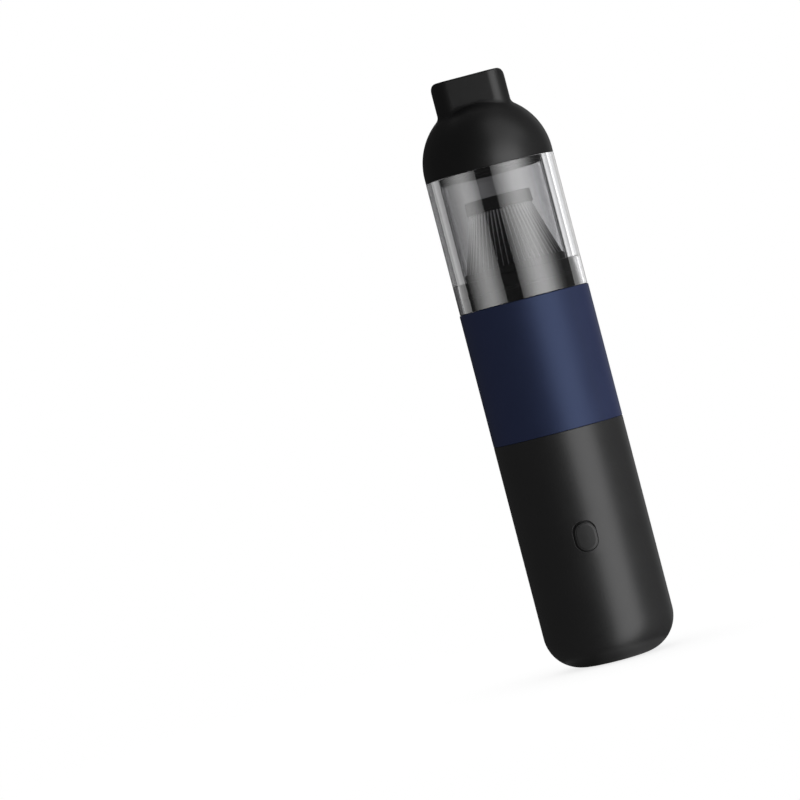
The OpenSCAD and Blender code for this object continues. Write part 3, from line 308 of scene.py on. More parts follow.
def group_tree(name, kind, inputs, outputs):
    tree = bpy.data.node_groups.new(name, kind)
    for way, sockets in (("INPUT", inputs), ("OUTPUT", outputs)):
        for label, socket in sockets.items():
            tree.interface.new_socket(label, in_out=way, socket_type="NodeSocket" + socket)
    wires = Wires(tree)
    return wires, wires.add("NodeGroupInput"), tree.nodes.new("NodeGroupOutput").inputs


def moulded_grain_group():
    """Spark-eroded mould texture: fine grain, slow drift of tone and gloss, and faint rub marks."""
    wires, given, made = group_tree(
        "MouldedGrain", "ShaderNodeTree",
        {"Colour": "Color", **dict.fromkeys(("Tone Drift", "Gloss", "Gloss Drift", "Grain Size"), "Float")},
        {"Colour": "Color", "Roughness": "Float", "Height": "Float"},
    )
    place = wires.place()
    grain = wires.noise(place, wires.over(1.0, given["Grain Size"]), detail=3.0, roughness=0.6)
    drift = wires.minus(wires.noise(place, scale=45.0, detail=3.0, roughness=0.55), 0.5)
    rub = wires.minus(wires.noise(place, scale=260.0, detail=4.0, roughness=0.7), 0.5)
    shade = wires.plus(1.0, wires.times(given["Tone Drift"], wires.plus(drift, wires.minus(grain, 0.5))))
    wires.put(made["Colour"], wires.scale(given["Colour"], shade))
    change = wires.times(given["Gloss Drift"], wires.plus(drift, wires.times(0.5, rub)))
    wires.put(made["Roughness"], wires.plus(given["Gloss"], change))
    wires.put(made["Height"], grain)


def drawn_metal_group():
    """Turning marks of rolled and turned metal, with a slow drift of tone."""
    wires, given, made = group_tree(
        "DrawnMetal", "ShaderNodeTree",
        {"Colour": "Color", "Gloss": "Float", "Line Size": "Float"},
        {"Colour": "Color", "Roughness": "Float", "Height": "Float"},
    )
    place = wires.place()
    squeezed = wires.add("ShaderNodeMapping", Vector=place, Scale=(0.04, 0.04, 1.0))[0]
    lines = wires.noise(squeezed, wires.over(1.0, given["Line Size"]), roughness=0.6)
    drift = wires.noise(place, scale=120.0)
    shade = wires.map_range(wires.mix(0.5, lines, drift), 0.0, 1.0, 0.86, 1.14)
    wires.put(made["Colour"], wires.scale(given["Colour"], shade))
    change = wires.times(0.18, wires.minus(lines, 0.5))
    wires.put(made["Roughness"], wires.plus(given["Gloss"], change))
    wires.put(made["Height"], lines)


def finish_called(slot):
    return bpy.data.materials[LOOK + slot]


def look_tree(slot):
    return clear_tree(bpy.data.materials.new(LOOK + slot))


def opaque(rgb):
    return (*rgb, 1.0)


def shaded(rgb, share):
    return [min(1.0, share * c) for c in rgb]


def plastic(slot, rgb, gloss, specular=0.5, grain=0.00022, depth=0.000003, drift=0.16, tint=(1.0, 1.0, 1.0)):
    wires = look_tree(slot)
    skin = wires.group(
        "MouldedGrain", Colour=opaque(rgb), Tone_Drift=drift, Gloss=gloss, Gloss_Drift=0.08, Grain_Size=grain
    )
    wires.principled(
        Base_Color=skin["Colour"], Roughness=skin["Roughness"], Specular_IOR_Level=specular,
        Specular_Tint=opaque(tint), Normal=wires.relief(skin["Height"], depth),
    )


def metal(slot, rgb, gloss):
    wires = look_tree(slot)
    skin = wires.group("DrawnMetal", Colour=opaque(rgb), Gloss=gloss, Line_Size=0.00012)
    wires.principled(
        Base_Color=skin["Colour"], Roughness=skin["Roughness"], Metallic=1.0,
        Normal=wires.relief(skin["Height"], depth=0.000002),
    )


def smoke_plastic(slot, rgb):
    """Clear tinted plastic with faint rub marks in its gloss."""
    wires = look_tree(slot)
    place = wires.place()
    cloud = wires.noise(place, scale=60.0, detail=3.0, roughness=0.6)
    rub = wires.noise(place, scale=900.0, detail=4.0, roughness=0.7)
    wires.principled(
        Base_Color=wires.blend(cloud, opaque(shaded(rgb, 0.97)), opaque(shaded(rgb, 1.03))),
        Roughness=wires.plus(0.02, wires.times(0.03, rub)), Transmission_Weight=1.0, IOR=1.5,
        Coat_Weight=1.0, Coat_Roughness=0.03, Normal=wires.relief(rub, depth=0.0000002),
    )


# Tones from the crest of a fold down into its hollow: painted shade in the folds
FOLD_SHADE_TONES = ((0.0, 1.0), (0.13, 0.55), (0.28, 0.03), (1.0, 0.003))


def folded_paper(slot, rgb, foot_z, top_z):
    """Fibrous filter paper, with painted shade down in its folds, darker towards its foot and lighter towards
    its top.
    """
    wires = look_tree(slot)
    place = wires.place()
    height = wires.split(place)["Z"]
    fibre = wires.noise(place, scale=2600.0, detail=5.0, roughness=0.75)
    dust = wires.noise(place, scale=130.0, detail=3.0, roughness=0.6)
    skin = wires.group(
        "MouldedGrain", Colour=opaque(rgb), Tone_Drift=0.3, Gloss=0.82, Gloss_Drift=0.1, Grain_Size=0.0004
    )
    fold = wires.add("ShaderNodeAttribute", setup={"attribute_name": "fold"})["Fac"]
    # Painted shade in the folds, deeper towards the foot
    fold_shade = wires.times(fold, wires.map_range(height, foot_z, top_z, start=1.7, end=0.2))
    speck = wires.plus(0.75, wires.times(0.5, wires.mix(0.4, fibre, dust)))
    # Darker towards the foot and lighter towards the top
    speck = wires.times(speck, wires.map_range(height, foot_z, top_z, start=0.45, end=1.38))
    shade = wires.times(wires.ramp(fold_shade, FOLD_SHADE_TONES), speck)
    wires.principled(
        Base_Color=wires.scale(skin["Colour"], shade), Roughness=skin["Roughness"], Specular_IOR_Level=0.15,
        Normal=wires.relief(fibre, depth=0.00002),
    )


def circuit_board(slot, rgb):
    """Solder-masked board with raised tracks."""
    wires = look_tree(slot)
    cells = wires.add(
        "ShaderNodeTexVoronoi", setup={"distance": "MANHATTAN", "feature": "DISTANCE_TO_EDGE"},
        Vector=wires.place(), Scale=320.0,
    )
    track = wires.math("LESS_THAN", cells["Distance"], 0.12)
    wires.principled(
        Base_Color=wires.blend(track, opaque(rgb), opaque(shaded(rgb, 1.7))),
        Roughness=wires.mix(track, 0.38, 0.3), Normal=wires.relief(track, depth=0.00002),
    )


PLASTICS = {
    "collar_black": dict(rgb=(0.008, 0.008, 0.0083), gloss=0.5, specular=0.03),
    "filter_plastic": dict(rgb=(0.008, 0.008, 0.0083), gloss=0.55, specular=0.03),
    "inner_plastic": dict(rgb=(0.035, 0.035, 0.037), gloss=0.5),
    "seal_rubber": dict(
        rgb=(0.014, 0.014, 0.014), gloss=0.72, specular=0.3, grain=0.0005, depth=0.00001, drift=0.3
    ),
    "magnet_grey": dict(rgb=(0.05, 0.05, 0.055), gloss=0.55, grain=0.0006, depth=0.00001),
    "carbon": dict(rgb=(0.02, 0.02, 0.02), gloss=0.6, specular=0.4, grain=0.0003),
    "cell_wrap": dict(rgb=(0.03, 0.13, 0.36), gloss=0.3, grain=0.0012, depth=0.000004, drift=0.1),
    "chip_black": dict(rgb=(0.016, 0.016, 0.017), gloss=0.5, specular=0.4, grain=0.0003),
    "lead_red": dict(rgb=(0.42, 0.012, 0.01), gloss=0.42, grain=0.0005),
    "lead_black": dict(rgb=(0.015, 0.015, 0.016), gloss=0.42, grain=0.0005),
}
METALS = {
    "steel": dict(rgb=(0.58, 0.59, 0.6), gloss=0.32),
    "copper_alloy": dict(rgb=(0.75, 0.42, 0.2), gloss=0.3),
}


class VACUUM_OT_finishes(bpy.types.Operator):
    """Make the finishes that the pieces share"""
    bl_idname = "vacuum.make_finishes"
    bl_label = "Finishes"

    def execute(self, context):
        colours = context.scene.vacuum.colours
        moulded_grain_group()
        drawn_metal_group()
        plastic("black_satin", colours.black, gloss=0.38)
        # The dome's black is the handle's black darkened: painted shade
        plastic("dome_satin", shaded(colours.black, 0.52), gloss=0.38, specular=0.46)
        plastic("navy_satin", colours.navy, gloss=0.44, specular=0.46, tint=(0.5, 0.66, 1.0))
        plastic("button_black", shaded(colours.black, 1.25), gloss=0.4, specular=0.45)
        smoke_plastic("smoke_clear", colours.smoke)
        folded_paper("filter_paper", colours.paper, PLEATS[0].z, PLEATS[1].z)
        circuit_board("board_green", (0.012, 0.09, 0.04))
        for slot, look in PLASTICS.items():
            plastic(slot, **look)
        for slot, look in METALS.items():
            metal(slot, **look)
        return {"FINISHED"}


# Shapes

def spread(start, end, steps):
    return [start + (end - start) * i / steps for i in range(steps + 1)]


def about(middle, reach, steps):
    return spread(middle - reach, middle + reach, steps)


def smooth(t):
    return t * t * (3 - 2 * t)


def arc(centre, radius, start, end, steps):
    """Points of an arc in a half plane through the axis."""
    r, z = centre
    return [(r + radius * math.cos(a), z + radius * math.sin(a)) for a in spread(start, end, steps)]


def soft_outline(corners, steps=5, stay=0.00025):
    """Closed outline through corners (r, z, rounding), kept straight by points beside the arcs."""
    points = []
    for i, (r, z, rounding) in enumerate(corners):
        here = Vector((r, z))
        if rounding == 0:
            points.append(here)
            continue
        back = Vector(corners[i - 1][:2]) - here
        ahead = Vector(corners[(i + 1) % len(corners)][:2]) - here
        half = back.angle(ahead) / 2
        reach = rounding / math.tan(half)
        middle = here + (back.normalized() + ahead.normalized()).normalized() * (rounding / math.sin(half))
        first = here + back.normalized() * reach - middle
        last = here + ahead.normalized() * reach - middle
        if back.length > reach + stay:
            points.append(here + back.normalized() * (reach + stay))
        for t in spread(0, 1, steps):
            points.append(middle + (first * (1 - t) + last * t).normalized() * rounding)
        if ahead.length > reach + stay:
            points.append(here + ahead.normalized() * (reach + stay))
    return [(p.x, p.y) for p in points]


def rounded_loop(width, height, corner, across, up):
    """Points of a rounded rectangle from its lower left corner, anticlockwise, with so many steps a side."""
    w, h = width / 2 - corner, height / 2 - corner
    centres = [Vector((-w, -h)), Vector((w, -h)), Vector((w, h)), Vector((-w, h))]
    eighth = QUARTER / 2
    points = []

    def out(centre, angle):
        return centre + corner * Vector((math.cos(angle), math.sin(angle)))

    for k, steps in enumerate((across, up, across, up)):
        here, ahead = centres[k], centres[(k + 1) % 4]
        turn = math.radians(225 + 90 * k)
        bend = steps // 4 if (ahead - here).length > 1e-9 else steps // 2
        along = steps - 2 * bend
        points += [out(here, turn + eighth * i / bend) for i in range(bend)]
        points += [out(here.lerp(ahead, i / along), turn + eighth) for i in range(along)]
        points += [out(ahead, turn + eighth * (1 + i / bend)) for i in range(bend)]
    return points


def grown_loop(width, height, corner, across, up):
    """A function that gives the loop of a rounded rectangle that is made larger all round."""
    return lambda extra: rounded_loop(width + 2 * extra, height + 2 * extra, corner + extra, across, up)


def polar(radius, angle, z):
    return Vector((radius * math.cos(angle), radius * math.sin(angle), z))


def on_round(across, z, radius, angle):
    """A point of a cylinder that lies a distance across from the line at an angle, seen square on."""
    return polar(math.sqrt(radius * radius - across * across), angle, z) + polar(across, angle + QUARTER, 0.0)


def join_rows(mesh, rows):
    for low, high in zip(rows, rows[1:]):
        for i in range(len(low)):
            j = (i + 1) % len(low)
            mesh.faces.new((low[i], low[j], high[j], high[i]))


def lathe(outline, steps=192):
    """A solid of revolution from a closed outline of (r, z) points."""
    mesh = bmesh.new()
    angles = [TURN * i / steps for i in range(steps)]
    rows = [[mesh.verts.new(polar(r, a, z)) for a in angles] for r, z in outline]
    join_rows(mesh, rows + rows[:1])
    return mesh


def pierce(mesh, rims, angle, z, outline, lip, radii):
    """Fills the gap between a wall's outer and inner rim with a hole whose edges are rounded."""
    side = polar(1.0, angle + QUARTER, 0.0)

    def row(points, r):
        return [mesh.verts.new(on_round(p.x, z + p.y, r, angle)) for p in points]

    def half(rim, r, inwards):
        start = [Vector((v.co.dot(side), v.co.z - z)) for v in rim]
        near = outline(2 * lip)
        rows = [row([a.lerp(b, t) for a, b in zip(start, near)], r) for t in (0.4, 0.75)] + [row(near, r)]
        for a in spread(0, QUARTER, 4):
            rows.append(row(outline(lip * (1 - math.sin(a))), r - inwards * lip * (1 - math.cos(a))))
        return [rim] + rows

    join_rows(mesh, half(rims[0], radii[0], 1) + half(rims[1], radii[1], -1)[::-1])


def close_up(mesh):
    """Joins points in the same place, drops points without faces and turns the faces outwards."""
    bmesh.ops.remove_doubles(mesh, verts=mesh.verts, dist=1e-7)
    bmesh.ops.delete(mesh, geom=[v for v in mesh.verts if not v.link_faces], context="VERTS")
    bmesh.ops.recalc_face_normals(mesh, faces=mesh.faces)
    data = bpy.data.meshes.new("shape")
    mesh.to_mesh(data)
    mesh.free()
    return data


def add_object(name, data):
    made = bpy.data.objects.new(name, data)
    bpy.context.scene.collection.objects.link(made)
    return made


def finish_piece(name, data, finish, body, nodes=(), slot=None, crease=35.0):
    """Makes a mesh a piece of the part: its finish, its body and the nodes that it stands for; the slot is
    not used.
    """
    data.name = name
    data.materials.clear()
    data.materials.append(finish_called(finish))
    data.shade_smooth()
    data.set_sharp_from_angle(angle=math.radians(crease))
    piece = add_object(name, data)
    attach(piece, body)
    if nodes:
        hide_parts(*nodes)
    return piece


def grow(data, tree, **inputs):
    """Runs a geometry tree on a mesh and gives back the result as a plain mesh."""
    holder = add_object("holder", data)
    modifier = holder.modifiers.new("grow", "NODES")
    modifier.node_group = tree
    sockets = {item.name: item.identifier for item in tree.interface.items_tree if item.in_out == "INPUT"}
    for name, value in inputs.items():
        modifier[sockets[name.replace("_", " ")]] = value
    graph = bpy.context.evaluated_depsgraph_get()
    made = bpy.data.meshes.new_from_object(holder.evaluated_get(graph))
    holder.modifiers.remove(modifier)
    bpy.data.objects.remove(holder)
    return made


def copy_round_axis(wires, patch, copies, angle, finish):
    """Sets copies of a patch round the axis, turned by the angle of their index, joined and dressed."""
    points = wires.add("GeometryNodeMeshLine", setup={"mode": "OFFSET"}, Count=copies, Offset=(0.0, 0.0, 0.0))
    turn = wires.add("FunctionNodeEulerToRotation", wires.add("ShaderNodeCombineXYZ", Z=angle)[0])[0]
    placed = wires.add("GeometryNodeInstanceOnPoints", Points=points[0], Instance=patch, Rotation=turn)[0]
    real = wires.add("GeometryNodeRealizeInstances", placed)[0]
    joined = wires.add("GeometryNodeMergeByDistance", Geometry=real, Distance=1e-6)[0]
    return wires.add("GeometryNodeSetMaterial", Geometry=joined, Material=finish)[0]


def row_round_axis_tree():
    """Sets copies of a patch of wall side by side round the axis."""
    wires, given, made = group_tree(
        "RowRoundAxis", "GeometryNodeTree",
        {"Patch": "Geometry", "Count": "Int", "Pitch": "Float", "Finish": "Material"},
        {"Geometry": "Geometry"},
    )
    middle = wires.over(wires.minus(given["Count"], 1.0), 2.0)
    step = wires.minus(wires.add("GeometryNodeInputIndex")[0], middle)
    angle = wires.times(step, given["Pitch"])
    row = copy_round_axis(wires, given["Patch"], given["Count"], angle, given["Finish"])
    wires.put(made["Geometry"], row)
    return wires.tree


def pleated_cone_tree():
    """Folds a sheet of paper into pleats round a cone, and marks how deep each point lies in its fold."""
    lengths = ("Foot Radius", "Top Radius", "Fold Depth", "Foot Height", "Top Height")
    wires, given, made = group_tree(
        "PleatedCone", "GeometryNodeTree",
        {"Geometry": "Geometry", "Pleats": "Int", **dict.fromkeys(lengths, "Float"), "Finish": "Material"},
        {"Geometry": "Geometry"},
    )
    foot_radius, top_radius, fold_depth, foot_z, top_z = [given[name] for name in lengths]
    sheet = wires.add("GeometryNodeMeshGrid", Size_X=1.0, Size_Y=1.0, Vertices_X=11, Vertices_Y=9)["Mesh"]
    across, up, _ = wires.split(wires.add("GeometryNodeInputPosition")[0])
    up = wires.plus(up, 0.5)
    round_fold = wires.times(0.5, wires.plus(1.0, wires.math("COSINE", wires.times(across, TURN))))
    sharp_fold = wires.minus(1.0, wires.times(2.0, wires.math("ABSOLUTE", across)))
    sharpness = 0.45
    hollow = wires.minus(1.0, wires.mix(sharpness, round_fold, sharp_fold))
    crest = wires.mix(up, foot_radius, top_radius)
    depth = wires.times(wires.over(crest, foot_radius), fold_depth)
    radius = wires.minus(crest, wires.times(hollow, depth))
    pitch = wires.over(TURN, given["Pleats"])
    angle = wires.times(across, pitch)
    folded = wires.add(
        "ShaderNodeCombineXYZ", wires.times(radius, wires.math("COSINE", angle)),
        wires.times(radius, wires.math("SINE", angle)), wires.mix(up, foot_z, top_z),
    )[0]
    # The fold mark lets the paper's finish paint shade down in the folds
    marked = wires.add(
        "GeometryNodeStoreNamedAttribute", setup={"data_type": "FLOAT", "domain": "POINT"},
        Geometry=sheet, Name="fold", Value=hollow,
    )[0]
    pleat = wires.add("GeometryNodeSetPosition", Geometry=marked, Position=folded)[0]
    turn = wires.times(wires.add("GeometryNodeInputIndex")[0], pitch)
    wires.put(made["Geometry"], copy_round_axis(wires, pleat, given["Pleats"], turn, given["Finish"]))
    return wires.tree


# Pieces

# Steps of the handle's mesh across and up its openings, and from the well to the outlet slots
ACROSS_SLOT, ALONG_SLOT = 12, 24
ACROSS_INLET, UP_INLET = 30, 10
ACROSS_WELL, UP_WELL = 30, 24
BESIDE_WELL = 46
# How far the patch of wall with an opening reaches from the opening's edge, middle or middle line
SLOT_MARGIN = 0.0025
INLET_REACH, WELL_REACH = 0.0045, 0.0105
WELL_HALF_ANGLE = math.radians(18.75)
# Rows of points that keep the wall straight: between the inlet and the well, under the seam, at roundings
MIDDLE_ROW_Z, SEAM_ROW, EDGE_ROW, BASE_ROW = 0.0445, 0.006, 0.0004, 0.0005


def slot_patch(body, openings, reach):
    """One cell of the handle's wall with an outlet slot through it, at the middle of the back."""
    mesh = bmesh.new()
    angles = about(BACK, openings.vent_pitch / 2, ACROSS_SLOT)
    heights = about(openings.vent_z, reach, ALONG_SLOT)
    cells = [(a, heights[0]) for a in angles[:-1]] + [(angles[-1], z) for z in heights[:-1]]
    cells += [(a, heights[-1]) for a in angles[:0:-1]] + [(angles[0], z) for z in heights[:0:-1]]
    radii = (RADIUS, RADIUS - body.wall)
    width = openings.vent_width
    outline = grown_loop(width, openings.vent_height, width / 2, ACROSS_SLOT, ALONG_SLOT)
    rims = [[mesh.verts.new(polar(r, a, z)) for a, z in cells] for r in radii]
    pierce(mesh, rims, BACK, openings.vent_z, outline, openings.lip, radii)
    return close_up(mesh)


class VACUUM_OT_handle(bpy.types.Operator):
    """Make the black handle with its button well, outlet slots and charging inlet"""
    bl_idname = "vacuum.make_handle"
    bl_label = "Handle"

    def execute(self, context):
        settings = context.scene.vacuum
        body, openings, button = settings.body, settings.openings, settings.button
        inner = RADIUS - body.wall
        half_row = openings.vent_count * openings.vent_pitch / 2
        row_steps = openings.vent_count * ACROSS_SLOT
        well_from, well_to = TURN + FRONT - WELL_HALF_ANGLE, TURN + FRONT + WELL_HALF_ANGLE
        angles = about(BACK, half_row, row_steps)
        angles += spread(BACK + half_row, well_from, BESIDE_WELL)[1:]
        angles += spread(well_from, well_to, ACROSS_WELL)[1:]
        angles += spread(well_to, TURN + BACK - half_row, BESIDE_WELL)[1:-1]
        slot_reach = openings.vent_height / 2 + SLOT_MARGIN
        heights = [body.base_round + EDGE_ROW]
        heights += about(openings.inlet_z, INLET_REACH, UP_INLET)
        heights += [MIDDLE_ROW_Z] + about(button.z, WELL_REACH, UP_WELL)
        heights += about(openings.vent_z, slot_reach, ALONG_SLOT)
        heights += [SEAM_Z - SEAM_ROW, SEAM_Z - body.edge - EDGE_ROW]

        flat = RADIUS - body.base_round
        inner_round = body.base_round - body.wall
        outline = [(0.0, 0.0), (flat - BASE_ROW, 0.0)]
        outline += arc((flat, body.base_round), body.base_round, -QUARTER, 0, steps=18)
        outline += [(RADIUS, z) for z in heights]
        outline += arc((RADIUS - body.edge, SEAM_Z - body.edge), body.edge, 0, QUARTER, steps=5)
        outline += [(inner, z) for z in [SEAM_Z] + heights[::-1]]
        outline += arc((flat, body.base_floor + inner_round), inner_round, 0, -QUARTER, steps=12)
        outline += [(0.0, body.base_floor)]

        mesh = bmesh.new()
        rows = [[mesh.verts.new(polar(r, a, z)) for a in angles] for r, z in outline]
        inlet_start = (row_steps - ACROSS_INLET) // 2
        well_start = row_steps + BESIDE_WELL
        slots = (range(row_steps), openings.vent_z, slot_reach)
        inlet = (range(inlet_start, inlet_start + ACROSS_INLET), openings.inlet_z, INLET_REACH)
        well = (range(well_start, well_start + ACROSS_WELL), button.z, WELL_REACH)

        def left_open(column, low, high):
            on_wall = low[0] == high[0] and low[0] in (RADIUS, inner)
            middle = (low[1] + high[1]) / 2
            return on_wall and any(column in c and abs(middle - z) < r for c, z, r in (slots, inlet, well))

        for i in range(len(outline) - 1):
            for j in range(len(angles)):
                if not left_open(j, outline[i], outline[i + 1]):
                    k = (j + 1) % len(angles)
                    mesh.faces.new((rows[i][j], rows[i][k], rows[i + 1][k], rows[i + 1][j]))

        def rim(window, wall):
            columns, z, reach = window
            picked = [i for i, p in enumerate(outline) if p[0] == wall and abs(p[1] - z) < reach + 1e-6]
            picked.sort(key=lambda i: outline[i][1])
            first, last = columns[0], columns[-1] + 1
            loop = [rows[picked[0]][c] for c in columns] + [rows[i][last] for i in picked[:-1]]
            loop += [rows[picked[-1]][c] for c in range(last, first, -1)]
            return loop + [rows[i][first] for i in picked[:0:-1]]

        def hole(window, angle, shape, lip):
            radii = (RADIUS, inner)
            pierce(mesh, [rim(window, r) for r in radii], angle, window[1], shape, lip, radii)

        inlet_corner = openings.inlet_height / 2 - 1e-5
        hole(inlet, BACK, grown_loop(
            openings.inlet_width, openings.inlet_height, inlet_corner, ACROSS_INLET, UP_INLET
        ), openings.lip)
        hole(well, FRONT, grown_loop(
            button.well_width, button.well_height, button.well_corner, ACROSS_WELL, UP_WELL
        ), button.lip)
        mesh.from_mesh(grow(
            slot_patch(body, openings, slot_reach), row_round_axis_tree(), Count=openings.vent_count,
            Pitch=openings.vent_pitch, Finish=finish_called("black_satin"),
        ))
        bmesh.ops.remove_doubles(mesh, verts=mesh.verts, dist=1e-6)
        finish_piece("handle_skin", close_up(mesh), "black_satin", "main_body", ["handle_shell"])
        return {"FINISHED"}


class VACUUM_OT_sleeve(bpy.types.Operator):
    """Make the blue sleeve round the motor"""
    bl_idname = "vacuum.make_sleeve"
    bl_label = "Sleeve"

    def execute(self, context):
        body = context.scene.vacuum.body
        high, edge = SLEEVE[1].z, body.edge
        shoulder, inner = high - body.rebate, RADIUS - body.wall
        rim, soft, fine = 0.0009, 0.0002, 0.0001
        ledge = RADIUS - rim
        outline = soft_outline([
            (inner, SEAM_Z, soft), (RADIUS, SEAM_Z, edge), (RADIUS, high, edge), (ledge, high, fine),
            (ledge, shoulder, 0), (inner, shoulder, fine),
        ])
        band = close_up(lathe(outline, steps=256))
        finish_piece("sleeve_band", band, "navy_satin", "main_body", ["blue_sleeve"])
        return {"FINISHED"}


class VACUUM_OT_button(bpy.types.Operator):
    """Make the power button with its raised pad, flange and stem"""
    bl_idname = "vacuum.make_button"
    bl_label = "Power button"

    def execute(self, context):
        b = context.scene.vacuum.button
        mesh = bmesh.new()
        steps, tip, edge_row, bevel_row = 32, 0.02, 0.0003, 0.0001
        cap = (b.well_width - 2 * b.gap, b.well_height - 2 * b.gap, b.corner)
        pad = (b.pad_width, b.pad_height, b.pad_corner)
        stem = (2 * b.stem_radius, 2 * b.stem_radius, b.stem_radius)

        def row(shape, extra, place):
            points = grown_loop(*shape, steps, steps)(extra)
            return [mesh.verts.new((p.x + b.sag, place(p.x), b.z - b.sag + p.y)) for p in points]

        def flat(depth):
            return lambda x: -depth

        def on_wall(radius):
            return lambda x: -math.sqrt(radius ** 2 - (x + b.sag) ** 2)

        def on_face(reach):
            return lambda x: b.face_bend - math.sqrt(b.face_bend ** 2 - x ** 2) - reach

        rows = [row([tip * w for w in stem], 0.0, flat(b.stem_depth)), row(stem, 0.0, flat(b.stem_depth))]
        rows += [row(stem, 0.0, flat(b.flange_depth)), row(cap, b.flange, flat(b.flange_depth))]
        rows += [row(cap, b.flange, on_wall(b.flange_radius)), row(cap, 0.0, on_wall(b.flange_radius))]
        rows += [row(cap, 0.0, on_face(b.face_reach - b.edge_drop - edge_row))]
        for a in spread(0, QUARTER, 8):
            drop = b.edge_drop * (1 - math.sin(a))
            rows.append(row(cap, -b.edge * (1 - math.cos(a)), on_face(b.face_reach - drop)))
        rows += [row(pad, b.bevel + bevel_row, on_face(b.face_reach))]
        for t in spread(0.0, 1.0, 6):
            rise = (b.pad_reach - b.face_reach) * smooth(t)
            rows.append(row(pad, b.bevel * (1 - t), on_face(b.face_reach + rise)))
        for share in (0.97, 0.75, 0.5, 0.25, tip):
            rows.append(row([share * w for w in pad], 0.0, on_face(b.pad_reach)))
        join_rows(mesh, rows)
        for end in (rows[0][::-1], rows[-1]):
            mesh.faces.new(end)
        finish_piece("button_cap", close_up(mesh), "button_black", "button", ["power_button"])
        return {"FINISHED"}


class VACUUM_OT_cup(bpy.types.Operator):
    """Make the clear dust cup"""
    bl_idname = "vacuum.make_cup"
    bl_label = "Clear cup"

    def execute(self, context):
        c = context.scene.vacuum.cup
        low, high = CUP
        outline = soft_outline([
            (high.x, low.z, c.edge), (high.x, high.z, c.edge), (c.cavity_radius, high.z, c.edge),
            (c.cavity_radius, c.socket_z, c.edge), (c.socket_radius - c.draft, c.socket_z, c.edge),
            (c.socket_radius, low.z, c.edge / 2),
        ])
        wall = close_up(lathe(outline, steps=320))
        finish_piece("cup_wall", wall, "smoke_clear", "dust_cup", ["clear_cup"])
        return {"FINISHED"}


# Steps of the nozzle's loop from side to side and from front to back, and the cosine of the angle to its
# narrow side where the foot has its full rounding
NOZZLE_STEPS = (64, 48)
FOOT_BLEND = 0.7


def rim_height(n, x):
    """Height of the mouth's rim, which is rounded off at the left and the right."""
    over = max(0.0, abs(x) - n.width / 2 + n.rim_round)
    return DOME[1].z - n.rim_round + math.sqrt(max(0.0, n.rim_round ** 2 - over ** 2))


def outline_radius(angle, half_x, half_y, corner):
    """Distance from the axis to a rounded rectangle's outline at an angle."""
    c, s = abs(math.cos(angle)), abs(math.sin(angle))
    if c > 1e-9 and half_x * s / c <= half_y - corner:
        return half_x / c
    if s > 1e-9 and half_y * c / s <= half_x - corner:
        return half_y / s
    along = c * (half_x - corner) + s * (half_y - corner)
    return along + math.sqrt(along ** 2 - (half_x - corner) ** 2 - (half_y - corner) ** 2 + corner ** 2)


def nozzle_outline(n, angle, out):
    """Closed outline of the dome and nozzle at an angle, where the nozzle's side stands a distance out."""
    edge, lip, toe, rim_row, duct_row = 0.0003, 0.0004, 0.0003, 0.0003, 0.004
    low_z, mouth_z, dome = DOME[0].z, DOME[1].z, DOME[1].x
    inner = dome - n.dome_wall
    duct = outline_radius(angle, n.width / 2 - n.wall, n.depth / 2 - n.wall, n.corner - n.wall)
    side = abs(math.cos(angle))
    wall_top = rim_height(n, out * side) - n.rim_edge
    foot = n.foot_front + (n.foot_round - n.foot_front) * smooth(min(1.0, side / FOOT_BLEND))
    foot_z = n.dome_z + math.sqrt((dome + foot) ** 2 - (out + foot) ** 2)
    lean = math.atan2(foot_z - n.dome_z, out + foot)

    outline = arc((dome - edge, low_z + edge), edge, -QUARTER, 0, steps=4)
    outline += [(dome, low_z + 2 * edge)]
    outline += arc((0.0, n.dome_z), dome, 0, lean, steps=30)
    outline += arc((out + foot, foot_z), foot, HALF_TURN + lean, HALF_TURN, steps=8)[1:]
    outline += [(out, z) for z in spread(foot_z, wall_top, 6)[1:-1]]
    outline += [(out, wall_top - rim_row)]
    top = arc((out - n.rim_edge, -n.rim_edge), n.rim_edge, 0, QUARTER, steps=8)
    top += [(r, 0.0) for r in spread(out - n.rim_edge, duct + lip, 4)[1:-1]]
    top += arc((duct + lip, -lip), lip, QUARTER, HALF_TURN, steps=4)
    outline += [(r, rim_height(n, r * side) + z) for r, z in top]
    outline += [(duct, rim_height(n, duct * side) - 2 * lip)]
    outline += [(duct, z) for z in spread(mouth_z - duct_row, n.seat_z + 2 * toe, 4)]
    outline += arc((duct + toe, n.seat_z + toe), toe, HALF_TURN, HALF_TURN + QUARTER, steps=3)
    outline += arc((out - toe, n.seat_z + toe), toe, HALF_TURN + QUARTER, TURN, steps=3)
    outline += arc((0.0, n.dome_z), inner, math.acos(out / inner), 0, steps=20)
    return outline + [(inner, low_z + edge), (inner + edge, low_z)]


def hinge_ears():
    """The two ears behind the duct that hold the flap's pin, rounded at their lower ends."""
    low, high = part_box("flap_pin")
    centre, bore = (low + high) / 2, (high.z - low.z) / 2
    ear_width, reach, rise, bevel = 0.0032, 0.0022, 0.0052, 0.0003
    sides = [rise * share for share in (0.35, 0.7, 1.0)]
    rim = [Vector((reach * math.cos(a), reach * math.sin(a))) for a in spread(HALF_TURN, TURN, 16)]
    rim += [Vector((reach, z)) for z in sides] + [Vector((-reach, z)) for z in sides[::-1]]
    hole = [p.normalized() * bore for p in rim]
    face = [p * (1 - bevel / p.length) for p in rim]
    mesh = bmesh.new()
    for side in (-1, 1):
        outside = side * high.x
        inside = outside - side * ear_width
        rows = []
        for x, points in (
            (inside, hole), (inside, face), (inside + side * bevel, rim),
            (outside - side * bevel, rim), (outside, face), (outside, hole),
        ):
            rows.append([mesh.verts.new((x, centre.y + p.x, centre.z + p.y)) for p in points])
        join_rows(mesh, rows + rows[:1])
    return close_up(mesh)


